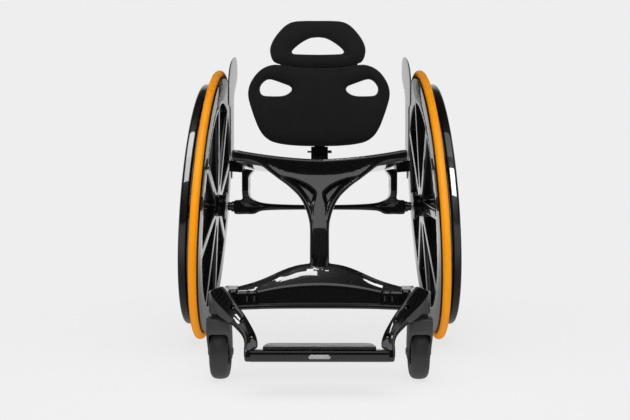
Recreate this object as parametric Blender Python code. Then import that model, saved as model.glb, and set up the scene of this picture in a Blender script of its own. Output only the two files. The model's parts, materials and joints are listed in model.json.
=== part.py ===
"""Rigid-frame active wheelchair: carbon frame, cambered rear wheels, swivelling casters, folding back.

Units are metres, +Z is up and the chair faces -Y. The origin is on the floor, at the middle of the
chair's footprint. Right and left are the viewer's, looking at the chair from the front.
"""
import math

import bmesh
import bpy
import numpy as np
from mathutils import Matrix, Vector
from mathutils.geometry import delaunay_2d_cdt

# Overall layout
AXLE_Y = 0.1384
GAP = 0.0003
SIDES = (("left", -1.0), ("right", 1.0))

# Rear wheels: 24 inch rim with a narrow 25 inch tyre, leaning in at the top
WHEEL_RADIUS = 0.305
CAMBER = math.radians(4.27)
HALF_TRACK = 0.2455
TYRE_SECTION = 0.0084
RIM_OUTER = WHEEL_RADIUS - 2 * TYRE_SECTION - GAP
RIM_BULGE_RADIUS = 0.263
RIM_BULGE_HALF = 0.0120
RIM_EDGE_HALF = 0.0110
WINDOW_OUTER = 0.232
WINDOW_INNER = 0.047
WINDOW_EDGE_HALF = 0.0114
HUB_DISC_HALF = 0.0140
SPOKES = 8
SPOKE_HALF_WIDTH = 0.0110
WINDOW_CORNER_OUTER = 0.020
WINDOW_CORNER_INNER = 0.008
SPOKE_PHASE = {"left": math.radians(21.0), "right": math.radians(-3.0)}
WHEEL_SEGMENTS = 48

# Handrims
HANDRIM_OUTER = 0.2725
HANDRIM_TUBE = 0.0095
HANDRIM_OFFSET = 0.0245
HANDRIM_TABS = 8

# Hubs and quick-release axles, measured along the axle from the wheel's middle plane
HUB_BORE = 0.0177
HUB_BARREL = 0.0250
HUB_FLANGE = 0.0310
HUB_INNER_END = -0.0325
HUB_OUTER_END = 0.0190
BEARING_RADIUS = 0.0140
BEARING_WIDTH = 0.0080
PIN_RADIUS = 0.00635
PIN_HEAD_RADIUS = 0.0105
PIN_INNER_END = -0.0800
PIN_OUTER_END = 0.0235
BUTTON_RADIUS = 0.0052
BUTTON_PROUD = 0.0045
BUTTON_TRAVEL = 0.0030
RECEIVER_RADIUS = 0.0098
RECEIVER_FLANGE = 0.0120

# Seat beam, centre column and lower crossbar, one carbon moulding
BEAM_HALF_WIDTH = 0.170
BEAM_FRONT_Y = AXLE_Y - 0.335
BEAM_BACK_Y = AXLE_Y - 0.296
BEAM_TOP_END = 0.4216
BEAM_TOP_MID = 0.4020
BEAM_BOTTOM_END = 0.3980
COLUMN_HALF_WIDTH = 0.0180
COLUMN_LEAN = 0.486
COLUMN_DEPTH = 0.044
COLUMN_TOP_Z = 0.375
COLUMN_BOTTOM_Z = 0.150
CROSSBAR_HALF_WIDTH = 0.150
CROSSBAR_FRONT_Y = AXLE_Y - 0.452
CROSSBAR_BACK_Y = AXLE_Y - 0.390
CROSSBAR_BOTTOM_Z = 0.130
CROSSBAR_CORNER_Z = 0.176

# Casters
CASTER_X = 0.180
STEM_Y = AXLE_Y - 0.462
CASTER_TRAIL = 0.032
CASTER_RADIUS = 0.050
CASTER_HALF_WIDTH = 0.0168
FORK_HALF_WIDTH = 0.0207
FORK_TOP_Z = 0.1160
FORK_ARM = 0.0034
FORK_WELL_RADIUS = 0.0530
FORK_ARCH_Z = 0.0880
HEAD_RADIUS = 0.0180
HEAD_BOTTOM_Z = 0.1236
HEAD_TOP_Z = 0.1660
STEM_RADIUS = 0.0050
STEM_SHOULDER = 0.0150
CARTRIDGE_RADIUS = 0.0110

# Footrest
FOOT_TUBE_HALF = 0.1122
FOOT_TUBE_Z = 0.0693
FOOT_TUBE_HALF_HEIGHT = 0.0098
FOOT_TUBE_Y = AXLE_Y - 0.5690
FOOT_PLATE_HALF = 0.0950
FOOT_PLATE_BACK_Y = AXLE_Y - 0.498
FOOT_PLATE_THICK = 0.0040

# Seat pan and rear frame
SEAT_HALF_WIDTH = 0.1655
SEAT_FRONT_Y = BEAM_BACK_Y + GAP
SEAT_REAR_Y = AXLE_Y + 0.020
SEAT_THICK = 0.0050
SEAT_MID_FRONT_Z = 0.3860
SEAT_MID_REAR_Z = 0.3750
SEAT_SAG = 0.0171
POST_INNER_X = 0.1592
POST_OUTER_X = 0.1742
POST_FRONT_Y = AXLE_Y - 0.045
POST_REAR_Y = AXLE_Y + 0.024
POST_TOP_Z = 0.3850
AXLE_BAR_MID_Z = 0.2990
HOUSING_TOP_Z = 0.3160
HOUSING_BOTTOM_Z = 0.2835
HOUSING_END_X = 0.1946

# Backrest
BACK_PIVOT_Y = AXLE_Y + 0.034
BACK_PIVOT_Z = 0.4264
POST_HALF_WIDTH = 0.0195
BACK_POST_TOP_Z = 0.6400
TONGUE_HALF_WIDTH = 0.0125
BACK_PIN_RADIUS = 0.0022
BACK_PIN_HALF_LENGTH = 0.0283
SHELL_BACK_Y = AXLE_Y + 0.0205
SHELL_THICK = 0.0040
PAD_CROWN = 0.0240
PAD_EDGE = 0.0130
PAD_BACKING = 0.0010
BACK_WRAP = 0.55
BACK_PAD_SHIFT = -0.0015
UPPER_PAD_SHIFT = -0.0040

# Side guards
GUARD_X = 0.2035
GUARD_THICK = 0.0030
GUARD_LIFT = 0.040
BRACKET_TOP_Z = 0.4060
BRACKET_BOTTOM_Z = 0.3780


def clear_scene():
    for obj in list(bpy.data.objects):
        bpy.data.objects.remove(obj, do_unlink=True)


def material(name, colour, roughness, metallic=0.0):
    found = bpy.data.materials.get(name)
    if found:
        return found
    mat = bpy.data.materials.new(name)
    mat.use_nodes = True
    shader = mat.node_tree.nodes["Principled BSDF"]
    shader.inputs["Base Color"].default_value = (*colour, 1.0)
    shader.inputs["Roughness"].default_value = roughness
    shader.inputs["Metallic"].default_value = metallic
    mat.diffuse_color = (*colour, 1.0)
    return mat


def carbon():
    return material("gloss_carbon", (0.012, 0.012, 0.014), 0.12)


def orange_rubber():
    return material("orange_rubber", (0.95, 0.32, 0.01), 0.45)


def black_rubber():
    return material("black_rubber", (0.03, 0.03, 0.032), 0.6)


def black_metal():
    return material("black_anodised", (0.015, 0.015, 0.017), 0.3, 0.6)


def silver_metal():
    return material("aluminium", (0.75, 0.76, 0.78), 0.3, 1.0)


def brass_metal():
    return material("screw_steel", (0.45, 0.44, 0.33), 0.35, 1.0)


def pad_fabric():
    return material("black_knit", (0.010, 0.010, 0.011), 0.9)


def graphite():
    return material("graphite_alloy", (0.05, 0.05, 0.052), 0.5, 0.4)


def place(name, mesh, mat, smooth=True):
    """Turn a finished bmesh into a named object with outward faces."""
    bmesh.ops.recalc_face_normals(mesh, faces=mesh.faces)
    data = bpy.data.meshes.new(name)
    mesh.to_mesh(data)
    mesh.free()
    data.materials.append(mat)
    if smooth:
        data.shade_smooth()
        data.set_sharp_from_angle(angle=math.radians(40))
    obj = bpy.data.objects.new(name, data)
    bpy.context.scene.collection.objects.link(obj)
    return obj


def empty(name, location):
    obj = bpy.data.objects.new(name, None)
    obj.empty_display_size = 0.03
    obj.location = location
    bpy.context.scene.collection.objects.link(obj)
    return obj


def attach(obj, parent):
    """Parent an object that is already in world coordinates."""
    bpy.context.view_layer.update()
    obj.parent = parent
    obj.matrix_parent_inverse = parent.matrix_world.inverted()


def combine(obj, tool, operation):
    """Apply one exact Boolean to obj and remove the tool."""
    modifier = obj.modifiers.new("combine", "BOOLEAN")
    modifier.operation = operation
    modifier.solver = "EXACT"
    modifier.object = tool
    bpy.context.view_layer.update()
    graph = bpy.context.evaluated_depsgraph_get()
    result = bpy.data.meshes.new_from_object(obj.evaluated_get(graph))
    old = obj.data
    name = old.name
    obj.modifiers.clear()
    obj.data = result
    bpy.data.meshes.remove(old)
    result.name = name
    bpy.data.objects.remove(tool, do_unlink=True)
    return obj


def weld(obj, distance=2e-5):
    """Close the hairline slivers that a Boolean can leave."""
    mesh = bmesh.new()
    mesh.from_mesh(obj.data)
    bmesh.ops.remove_doubles(mesh, verts=mesh.verts, dist=distance)
    bmesh.ops.dissolve_degenerate(mesh, edges=mesh.edges, dist=distance)
    mesh.to_mesh(obj.data)
    mesh.free()
    return obj


def loft(sections, closed=False):
    """Skin a list of equal point loops, capped unless the run closes on itself."""
    mesh = bmesh.new()
    rows = [[mesh.verts.new(point) for point in section] for section in sections]
    count = len(rows[0])
    pairs = list(zip(rows, rows[1:]))
    if closed:
        pairs.append((rows[-1], rows[0]))
    for low, high in pairs:
        for i in range(count):
            j = (i + 1) % count
            mesh.faces.new((low[i], low[j], high[j], high[i]))
    if not closed:
        mesh.faces.new(rows[0])
        mesh.faces.new(list(reversed(rows[-1])))
    return mesh


def lathe(profile, segments, frame, start=0.0):
    """Turn a closed (radius, height) outline about the frame's Z axis."""
    sections = []
    for step in range(segments):
        angle = start + 2 * math.pi * step / segments
        cos, sin = math.cos(angle), math.sin(angle)
        sections.append([frame @ Vector((r * cos, r * sin, h)) for r, h in profile])
    return loft(sections, closed=True)


def spindle(profile, segments, frame, start=0.0):
    """Turn an open (radius, height) outline that is capped flat at both ends."""
    sections = []
    for radius, height in profile:
        ring = []
        for step in range(segments):
            angle = start + 2 * math.pi * step / segments
            ring.append(frame @ Vector((radius * math.cos(angle), radius * math.sin(angle), height)))
        sections.append(ring)
    return loft(sections)


def arc_points(centre, radius, start, end, steps):
    """Points on an arc, angles in degrees."""
    points = []
    for step in range(steps + 1):
        angle = math.radians(start + (end - start) * step / steps)
        points.append((centre[0] + radius * math.cos(angle), centre[1] + radius * math.sin(angle)))
    return points


def rounded(corners, radii, steps=3):
    """Outline with each corner replaced by an arc-like run of points."""
    points = []
    count = len(corners)
    for i in range(count):
        here = Vector(corners[i])
        back = Vector(corners[i - 1]) - here
        ahead = Vector(corners[(i + 1) % count]) - here
        radius = radii[i] if isinstance(radii, (list, tuple)) else radii
        if radius <= 0:
            points.append(tuple(here))
            continue
        half_turn = back.angle(ahead) / 2
        reach = min(radius / math.tan(half_turn), 0.49 * back.length, 0.49 * ahead.length)
        first = here + back.normalized() * reach
        last = here + ahead.normalized() * reach
        for step in range(steps + 1):
            t = step / steps
            points.append(tuple(first * (1 - t) ** 2 + here * 2 * t * (1 - t) + last * t * t))
    return points


def smooth_loop(knots, per_span):
    """Closed Catmull-Rom curve through a few knots."""
    points = []
    count = len(knots)
    for i in range(count):
        p0, p1, p2, p3 = (Vector(knots[(i + k) % count]) for k in (-1, 0, 1, 2))
        for step in range(per_span):
            t = step / per_span
            point = 0.5 * (2 * p1 + (p2 - p0) * t + (2 * p0 - 5 * p1 + 4 * p2 - p3) * t * t
                           + (3 * p1 - p0 - 3 * p2 + p3) * t ** 3)
            points.append(tuple(point))
    return points


def mirrored(half):
    """Close a right-hand outline, listed from its top to its bottom, with its mirror image."""
    left = [(-x, z) for x, z in reversed(half) if x > 1e-6]
    return list(half) + left


def loop_distance(points, loops):
    """Distance from each point to the nearest loop edge."""
    points = np.asarray(points, float)
    best = np.full(len(points), 1e9)
    for loop in loops:
        start = np.asarray(loop, float)
        edge = np.roll(start, -1, axis=0) - start
        length = np.maximum((edge ** 2).sum(1), 1e-18)
        for a, ab, l2 in zip(start, edge, length):
            t = np.clip(((points - a) @ ab) / l2, 0, 1)
            best = np.minimum(best, np.hypot(*(points - a - t[:, None] * ab).T))
    return best


def inside(point, loop):
    """Even-odd test for one point in one loop."""
    x, y = point
    hit = False
    for (x1, y1), (x2, y2) in zip(loop, loop[1:] + loop[:1]):
        if (y1 > y) != (y2 > y) and x < (x2 - x1) * (y - y1) / (y2 - y1) + x1:
            hit = not hit
    return hit


def inset_ring(loop, distance, loops):
    """Points one inset inside the material beside a loop, where there is room for them."""
    count = len(loop)
    ring = []
    for i in range(count):
        tangent = Vector(loop[(i + 1) % count]) - Vector(loop[i - 1])
        normal = Vector((-tangent.y, tangent.x)).normalized()
        for sign in (1, -1):
            point = Vector(loop[i]) + normal * distance * sign
            in_body = inside(point, loops[0]) and not any(inside(point, hole) for hole in loops[1:])
            if in_body:
                ring.append(tuple(point))
                break
    if not ring:
        return []
    clear = loop_distance(ring, loops) > 0.85 * distance
    return [point for point, good in zip(ring, clear) if good]


def plate(outline, holes, spacing, insets, front, back, to_world, extra=()):
    """Closed solid between two surfaces over one outline with holes.

    front and back give the third coordinate from (u, v, distance to the edge), and to_world
    turns (u, v, w) into a point. insets are rows of points close to the edges, spacing is the
    pitch of the points further in, and extra adds chosen points.
    """
    loops = [list(outline)] + [list(hole) for hole in holes]
    inner = list(extra)
    for distance in insets:
        for loop in loops:
            inner.extend(inset_ring(loop, distance, loops))
    if spacing:
        us = [p[0] for p in outline]
        vs = [p[1] for p in outline]
        margin = (max(insets) if insets else 0.0) + 0.55 * spacing
        rows = int((max(vs) - min(vs)) / (spacing * 0.866)) + 1
        grid = []
        for row in range(rows):
            v = min(vs) + row * spacing * 0.866
            columns = int((max(us) - min(us)) / spacing) + 2
            middle = (max(us) + min(us)) / 2
            for column in range(-columns // 2, columns // 2 + 1):
                grid.append((middle + (column + 0.5 * (row % 2)) * spacing, v))
        clear = loop_distance(grid, loops) > margin
        for point, good in zip(grid, clear):
            if good and inside(point, loops[0]) and not any(inside(point, h) for h in loops[1:]):
                inner.append(point)
    kept = []
    for point in inner:
        if all(math.dist(point, other) > 0.3 * (spacing or 0.01) for other in kept):
            kept.append(point)
    verts, edges = [], []
    for loop in loops:
        base = len(verts)
        verts.extend(Vector(point) for point in loop)
        edges.extend((base + i, base + (i + 1) % len(loop)) for i in range(len(loop)))
    verts.extend(Vector(point) for point in kept)
    flat, _, faces, _, _, _ = delaunay_2d_cdt(verts, edges, [], 0, 1e-7)
    tris = []
    for face in faces:
        middle = sum((flat[i] for i in face), Vector((0, 0))) / len(face)
        if inside(middle, loops[0]) and not any(inside(middle, hole) for hole in loops[1:]):
            tris.append(face)
    used = sorted({i for face in tris for i in face})
    place_of = {old: new for new, old in enumerate(used)}
    flat = [tuple(flat[i]) for i in used]
    tris = [[place_of[i] for i in face] for face in tris]
    depth = loop_distance(flat, loops)
    mesh = bmesh.new()
    top = [mesh.verts.new(to_world(u, v, front(u, v, d))) for (u, v), d in zip(flat, depth)]
    low = [mesh.verts.new(to_world(u, v, back(u, v, d))) for (u, v), d in zip(flat, depth)]
    seen = {}
    for face in tris:
        mesh.faces.new([top[i] for i in face])
        mesh.faces.new([low[i] for i in reversed(face)])
        for a, b in zip(face, face[1:] + face[:1]):
            seen[(a, b)] = seen.get((a, b), 0) + 1
    for a, b in seen:
        if (b, a) not in seen:
            mesh.faces.new((top[b], top[a], low[a], low[b]))
    return mesh


def front_view(u, v, w):
    """Front-view outline (x, z) with w as the depth along Y."""
    return Vector((u, w, v))


def edge_round(distance, radius):
    """How far a surface drops at a rounded edge, 0 inside and radius on the edge."""
    t = max(0.0, 1.0 - distance / radius)
    return radius * (1.0 - math.sqrt(max(0.0, 1.0 - t * t)))


def blend(a, b, t):
    t = min(1.0, max(0.0, t))
    return a + (b - a) * t


def ease(t):
    t = min(1.0, max(0.0, t))
    return t * t * (3 - 2 * t)


def wheel_frame(side):
    """Wheel axes: local X forward, local Y up along the wheel, local Z outward along the axle."""
    outward = Vector((side * math.cos(CAMBER), 0, math.sin(CAMBER)))
    upward = Vector((-side * math.sin(CAMBER), 0, math.cos(CAMBER)))
    forward = Vector((0, -1, 0))
    frame = Matrix.Identity(4)
    for row in range(3):
        frame[row][0] = forward[row]
        frame[row][1] = upward[row]
        frame[row][2] = outward[row]
    frame[0][3] = side * HALF_TRACK
    frame[1][3] = AXLE_Y
    frame[2][3] = WHEEL_RADIUS * math.cos(CAMBER)
    return frame


def ring_profile(radius, offset, half_radial, half_axial, points):
    """Oval section of a ring, first point outermost."""
    section = []
    for step in range(points):
        angle = 2 * math.pi * step / points
        section.append((radius + half_radial * math.cos(angle), offset + half_axial * math.sin(angle)))
    return section


def wheel_window(index, phase):
    """Outline of one opening between two spokes, in the wheel's plane."""
    first = phase + 2 * math.pi * index / SPOKES
    second = first + 2 * math.pi / SPOKES

    def beside(angle, sign, radius):
        turn = angle + sign * math.asin(SPOKE_HALF_WIDTH / radius)
        return (radius * math.cos(turn), radius * math.sin(turn))

    outer_first = beside(first, 1, WINDOW_OUTER)
    outer_second = beside(second, -1, WINDOW_OUTER)
    inner_first = beside(first, 1, WINDOW_INNER)
    inner_second = beside(second, -1, WINDOW_INNER)
    arc = []
    for part in (1, 2, 3):
        angle = first + (second - first) * part / 4
        arc.append((WINDOW_OUTER * math.cos(angle), WINDOW_OUTER * math.sin(angle)))
    corners = [inner_first, outer_first] + arc + [outer_second, inner_second]
    radii = [WINDOW_CORNER_INNER, WINDOW_CORNER_OUTER, 0, 0, 0, WINDOW_CORNER_OUTER, WINDOW_CORNER_INNER]
    return rounded(corners, radii, steps=2)


def wheel_half_thickness(radius):
    """Half thickness of the carbon wheel at a radius."""
    if radius > RIM_BULGE_RADIUS:
        return blend(RIM_BULGE_HALF, RIM_EDGE_HALF, (radius - RIM_BULGE_RADIUS) / (RIM_OUTER - RIM_BULGE_RADIUS))
    if radius > WINDOW_OUTER:
        return blend(WINDOW_EDGE_HALF, RIM_BULGE_HALF, (radius - WINDOW_OUTER) / (RIM_BULGE_RADIUS - WINDOW_OUTER))
    return blend(HUB_DISC_HALF, WINDOW_EDGE_HALF, (radius - WINDOW_INNER) / (WINDOW_OUTER - WINDOW_INNER))


def make_rear_wheel(name, side):
    """Tyre, carbon wheel, hub, bearings, handrim, axle pin and release button of one side."""
    frame = wheel_frame(side)
    axle = empty(f"axle_{name}", frame.translation)
    axle.rotation_euler = frame.to_euler()
    parts = []

    tyre_centre = WHEEL_RADIUS - TYRE_SECTION
    tyre = ring_profile(tyre_centre, 0.0, TYRE_SECTION, TYRE_SECTION, 8)
    parts.append(place(f"rear_tyre_{name}", lathe(tyre, WHEEL_SEGMENTS, frame, math.pi / 2), orange_rubber()))

    circle = [(RIM_OUTER * math.cos(a), RIM_OUTER * math.sin(a))
              for a in (2 * math.pi * i / WHEEL_SEGMENTS for i in range(WHEEL_SEGMENTS))]
    bulge = [(RIM_BULGE_RADIUS * math.cos(a), RIM_BULGE_RADIUS * math.sin(a))
             for a in (2 * math.pi * (i + 0.5) / WHEEL_SEGMENTS for i in range(WHEEL_SEGMENTS))]
    bore = [(HUB_BORE * math.cos(a), HUB_BORE * math.sin(a))
            for a in (2 * math.pi * i / 20 for i in range(20))]
    windows = [wheel_window(i, SPOKE_PHASE[name]) for i in range(SPOKES)]

    def outward(u, v, _):
        return wheel_half_thickness(math.hypot(u, v))

    def inward(u, v, _):
        return -wheel_half_thickness(math.hypot(u, v))

    def in_wheel(u, v, w):
        return frame @ Vector((u, v, w))

    disc = plate(circle, [bore] + windows, 0, (), outward, inward, in_wheel, extra=bulge)
    parts.append(place(f"carbon_wheel_{name}", disc, carbon()))

    bore_fit = HUB_BORE - GAP
    bearing_seat = BEARING_RADIUS + GAP
    pin_clear = PIN_RADIUS + 0.0008
    hub = [
        (bearing_seat, HUB_INNER_END), (HUB_FLANGE - 0.002, HUB_INNER_END), (HUB_FLANGE, HUB_INNER_END + 0.002),
        (HUB_FLANGE, HUB_INNER_END + 0.0045), (HUB_BARREL, HUB_INNER_END + 0.0060),
        (HUB_BARREL, -HUB_DISC_HALF - 0.0012), (bore_fit, -HUB_DISC_HALF - 0.0012), (bore_fit, HUB_OUTER_END - 0.002),
        (bore_fit - 0.002, HUB_OUTER_END), (bearing_seat, HUB_OUTER_END),
        (bearing_seat, HUB_OUTER_END - BEARING_WIDTH - GAP), (pin_clear + 0.002, HUB_OUTER_END - BEARING_WIDTH - GAP),
        (pin_clear + 0.002, HUB_INNER_END + BEARING_WIDTH + GAP), (bearing_seat, HUB_INNER_END + BEARING_WIDTH + GAP),
    ]
    parts.append(place(f"hub_{name}", lathe(hub, 20, frame), black_metal()))
    for end, low in (("inner", HUB_INNER_END), ("outer", HUB_OUTER_END - BEARING_WIDTH)):
        ring = [(PIN_RADIUS + GAP, low), (BEARING_RADIUS, low), (BEARING_RADIUS, low + BEARING_WIDTH),
                (PIN_RADIUS + GAP, low + BEARING_WIDTH)]
        parts.append(place(f"hub_bearing_{end}_{name}", lathe(ring, 14, frame), silver_metal()))

    rim_ring = ring_profile(HANDRIM_OUTER - HANDRIM_TUBE, HANDRIM_OFFSET, HANDRIM_TUBE, HANDRIM_TUBE, 8)
    handrim = place(f"handrim_{name}", lathe(rim_ring, WHEEL_SEGMENTS, frame, math.pi / 2), carbon())
    for index in range(HANDRIM_TABS):
        angle = SPOKE_PHASE[name] + 2 * math.pi * (index + 0.5) / HANDRIM_TABS
        turn = frame @ Matrix.Rotation(angle, 4, "Z") @ Matrix.Translation((RIM_BULGE_RADIUS, 0, 0))
        foot = RIM_BULGE_HALF + GAP
        tab = [[turn @ Vector((x, y, h)) for x, y in
                ((-0.006, -0.011), (0.006, -0.011), (0.006, 0.011), (-0.006, 0.011))]
               for h in (foot, HANDRIM_OFFSET - 0.002)]
        combine(handrim, place("tab", loft(tab), carbon()), "UNION")
    parts.append(weld(handrim))

    for part in parts:
        attach(part, axle)

    pin = [
        (PIN_RADIUS - 0.001, PIN_INNER_END), (PIN_RADIUS, PIN_INNER_END + 0.001), (PIN_RADIUS, HUB_OUTER_END + 0.0005),
        (PIN_HEAD_RADIUS, HUB_OUTER_END + 0.0005), (PIN_HEAD_RADIUS, PIN_OUTER_END - 0.001),
        (PIN_HEAD_RADIUS - 0.001, PIN_OUTER_END),
    ]
    button_seat = BUTTON_RADIUS - 0.0022
    socket_depth = 0.020
    bore_profile = [(BUTTON_RADIUS + GAP, PIN_OUTER_END + 0.01), (BUTTON_RADIUS + GAP, HUB_OUTER_END + 0.0012),
                    (button_seat + GAP, HUB_OUTER_END + 0.0012), (button_seat + GAP, PIN_OUTER_END - socket_depth)]
    shaft = place(f"axle_pin_{name}", spindle(pin, 16, frame), silver_metal())
    combine(shaft, place("bore", spindle(bore_profile, 16, frame), silver_metal()), "DIFFERENCE")
    floor = HUB_OUTER_END + 0.0012 + BUTTON_TRAVEL + GAP
    button = [(button_seat, PIN_OUTER_END - socket_depth + BUTTON_TRAVEL + GAP), (button_seat, floor),
              (BUTTON_RADIUS, floor), (BUTTON_RADIUS, PIN_OUTER_END + BUTTON_PROUD - 0.001),
              (BUTTON_RADIUS - 0.001, PIN_OUTER_END + BUTTON_PROUD)]
    press = place(f"release_button_{name}", spindle(button, 16, frame), black_metal())
    guide = empty(f"button_axis_{name}", frame @ Vector((0, 0, PIN_OUTER_END)))
    guide.rotation_euler = frame.to_euler()
    attach(press, guide)

    receiver_start = -0.0362
    receiver_end = -0.0640
    receiver = [
        (PIN_RADIUS + GAP, receiver_start), (RECEIVER_RADIUS - 0.001, receiver_start),
        (RECEIVER_RADIUS, receiver_start - 0.001), (RECEIVER_RADIUS, -0.0440), (RECEIVER_FLANGE, -0.0460),
        (RECEIVER_FLANGE, -0.0500), (RECEIVER_RADIUS, -0.0500), (RECEIVER_RADIUS, receiver_end),
        (PIN_RADIUS + GAP, receiver_end),
    ]
    place(f"axle_receiver_{name}", lathe(receiver, 16, frame), silver_metal())


def beam_top(x):
    return blend(BEAM_TOP_MID, BEAM_TOP_END, (abs(x) / BEAM_HALF_WIDTH) ** 1.7)


def front_frame_outline():
    """Front view of the seat beam and the Y-shaped column, listed down the right side."""
    across = [BEAM_HALF_WIDTH * t for t in (0.0, 0.2, 0.4, 0.6, 0.8, 0.94)]
    top = [(x, beam_top(x)) for x in across]
    end = [(BEAM_HALF_WIDTH, BEAM_TOP_END - 0.005), (BEAM_HALF_WIDTH, BEAM_BOTTOM_END + 0.005),
           (BEAM_HALF_WIDTH - 0.006, BEAM_BOTTOM_END)]
    flare = [(0.1400, 0.3960), (0.1220, 0.3925), (0.1088, 0.3869), (0.0983, 0.3788), (0.0783, 0.3636),
             (0.0607, 0.3509), (0.0432, 0.3349), (0.0360, 0.3260), (0.0305, 0.3169), (0.0258, 0.3060),
             (0.0224, 0.2956), (0.0193, 0.2830)]
    column = [(COLUMN_HALF_WIDTH, 0.2700), (COLUMN_HALF_WIDTH, 0.2320), (COLUMN_HALF_WIDTH, COLUMN_BOTTOM_Z)]
    return mirrored(top + end + flare + column)


def column_front(z):
    """Depth of the front face: upright on the beam, leaning forward down the column."""
    return BEAM_FRONT_Y - COLUMN_LEAN * max(0.0, COLUMN_TOP_Z - z)


def scoop(x, z):
    """Depth of the two crescent hollows beside the column's ridge."""
    across = abs(x)
    ridge = blend(0.0035, 0.011, (0.345 - z) / 0.05)
    outer = 0.0185 + max(0.0, z - 0.275) * 0.95
    if across < ridge or z > 0.368 or z < 0.272:
        return 0.0
    middle = (ridge + outer) / 2
    half = (outer - ridge) / 2
    profile = max(0.0, 1.0 - ((across - middle) / half) ** 2)
    fade = min(ease((0.368 - z) / 0.020), ease((z - 0.272) / 0.030))
    return 0.014 * profile * fade


def make_front_frame():
    """Beam, column and lower crossbar, one closed carbon moulding."""

    def front(x, z, distance):
        return column_front(z) + edge_round(distance, 0.006) + scoop(x, z)

    def back(x, z, distance):
        deep = BEAM_BACK_Y if z > COLUMN_TOP_Z else column_front(z) + blend(0.039, COLUMN_DEPTH, (COLUMN_TOP_Z - z) / 0.1)
        return min(deep, BEAM_BACK_Y) - edge_round(distance, 0.006)

    body = plate(front_frame_outline(), [], 0.019, (0.005,), front, back, front_view)
    frame = place("front_frame", body, carbon())

    def crest(x):
        """Height of the crossbar's rear top edge."""
        return 0.1665 + 0.0425 * math.exp(-(abs(x) / 0.0995) ** 2.75)

    stations = [CROSSBAR_HALF_WIDTH * t for t in (-1, -0.85, -0.68, -0.5, -0.34, -0.17, 0, 0.17, 0.34, 0.5, 0.68, 0.85, 1)]
    sections = []
    for x in stations:
        top = crest(x)
        corner = min(CROSSBAR_CORNER_Z - 0.010 * (abs(x) / CROSSBAR_HALF_WIDTH) ** 2, top - 0.003)
        bottom = CROSSBAR_BOTTOM_Z - 0.003 * (abs(x) / CROSSBAR_HALF_WIDTH) ** 3
        sections.append([Vector((x, y, z)) for y, z in (
            (CROSSBAR_FRONT_Y + 0.004, bottom), (CROSSBAR_FRONT_Y, bottom + 0.005),
            (CROSSBAR_FRONT_Y, corner - 0.003), (CROSSBAR_FRONT_Y + 0.004, corner + 0.001),
            (CROSSBAR_BACK_Y - 0.014, top - 0.001), (CROSSBAR_BACK_Y - 0.006, top - 0.002),
            (CROSSBAR_BACK_Y, top - 0.010), (CROSSBAR_BACK_Y, bottom + 0.005), (CROSSBAR_BACK_Y - 0.004, bottom),
        )])
    combine(frame, place("crossbar", loft(sections), carbon()), "UNION")
    return weld(frame)


# Leg sections from the head down: outer front, inner front, inner back, outer back and the ridge
# along the outer side, each as (distance from the centre line, depth ahead of the axle, height)
LEG_SECTIONS = (
    ((0.1923, 0.4870, 0.1670), (0.1714, 0.4870, 0.1757), (0.1650, 0.4420, 0.1680), (0.1975, 0.4500, 0.1600),
     (0.1955, 0.4690, 0.1635)),
    ((0.1909, 0.4900, 0.1548), (0.1598, 0.4900, 0.1647), (0.1520, 0.4420, 0.1480), (0.1965, 0.4620, 0.1265),
     (0.1945, 0.4770, 0.1400)),
    ((0.1645, 0.4970, 0.1334), (0.1464, 0.4970, 0.1496), (0.1505, 0.4600, 0.1350), (0.1746, 0.4900, 0.1204),
     (0.1700, 0.4940, 0.1270)),
    ((0.1483, 0.5120, 0.1210), (0.1340, 0.5120, 0.1365), (0.1370, 0.4790, 0.1250), (0.1546, 0.5000, 0.1089),
     (0.1520, 0.5070, 0.1150)),
    ((0.1460, 0.5145, 0.1193), (0.1319, 0.5145, 0.1341), (0.1350, 0.4820, 0.1235), (0.1525, 0.4900, 0.1060),
     (0.1509, 0.5110, 0.1164)),
    ((0.1351, 0.5270, 0.1116), (0.1226, 0.5270, 0.1234), (0.1240, 0.5000, 0.1130), (0.1440, 0.5020, 0.0993),
     (0.1385, 0.5250, 0.1089)),
    ((0.1289, 0.5410, 0.1070), (0.1152, 0.5410, 0.1134), (0.1150, 0.5180, 0.1030), (0.1380, 0.5170, 0.0974),
     (0.1318, 0.5395, 0.1045)),
    ((0.1234, 0.5530, 0.1006), (0.1085, 0.5530, 0.1048), (0.1085, 0.5300, 0.0960), (0.1328, 0.5300, 0.0940),
     (0.1262, 0.5515, 0.0990)),
    ((0.1207, 0.5640, 0.0925), (0.1040, 0.5640, 0.0942), (0.1045, 0.5440, 0.0890), (0.1283, 0.5430, 0.0882),
     (0.1236, 0.5625, 0.0918)),
    ((0.1200, 0.5720, 0.0849), (0.1031, 0.5720, 0.0845), (0.1040, 0.5530, 0.0840), (0.1280, 0.5520, 0.0820),
     (0.1230, 0.5710, 0.0844)),
    ((0.1200, 0.5750, 0.0812), (0.1036, 0.5740, 0.0812), (0.1042, 0.5550, 0.0812), (0.1280, 0.5550, 0.0795),
     (0.1230, 0.5740, 0.0810)),
    ((0.1200, 0.5765, 0.0796), (0.1130, 0.5760, 0.0798), (0.1130, 0.5570, 0.0798), (0.1279, 0.5560, 0.0770),
     (0.1230, 0.5755, 0.0793)),
    ((0.1205, 0.5790, 0.0725), (0.1130, 0.5790, 0.0725), (0.1130, 0.5575, 0.0720), (0.1280, 0.5560, 0.0715),
     (0.1236, 0.5780, 0.0725)),
    ((0.1215, 0.5800, 0.0650), (0.1130, 0.5800, 0.0650), (0.1130, 0.5580, 0.0650), (0.1276, 0.5570, 0.0650),
     (0.1250, 0.5780, 0.0650)),
    ((0.1215, 0.5775, 0.0600), (0.1135, 0.5775, 0.0600), (0.1135, 0.5600, 0.0600), (0.1258, 0.5590, 0.0610),
     (0.1245, 0.5760, 0.0605)),
)
LEG_EDGE = 0.16

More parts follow.
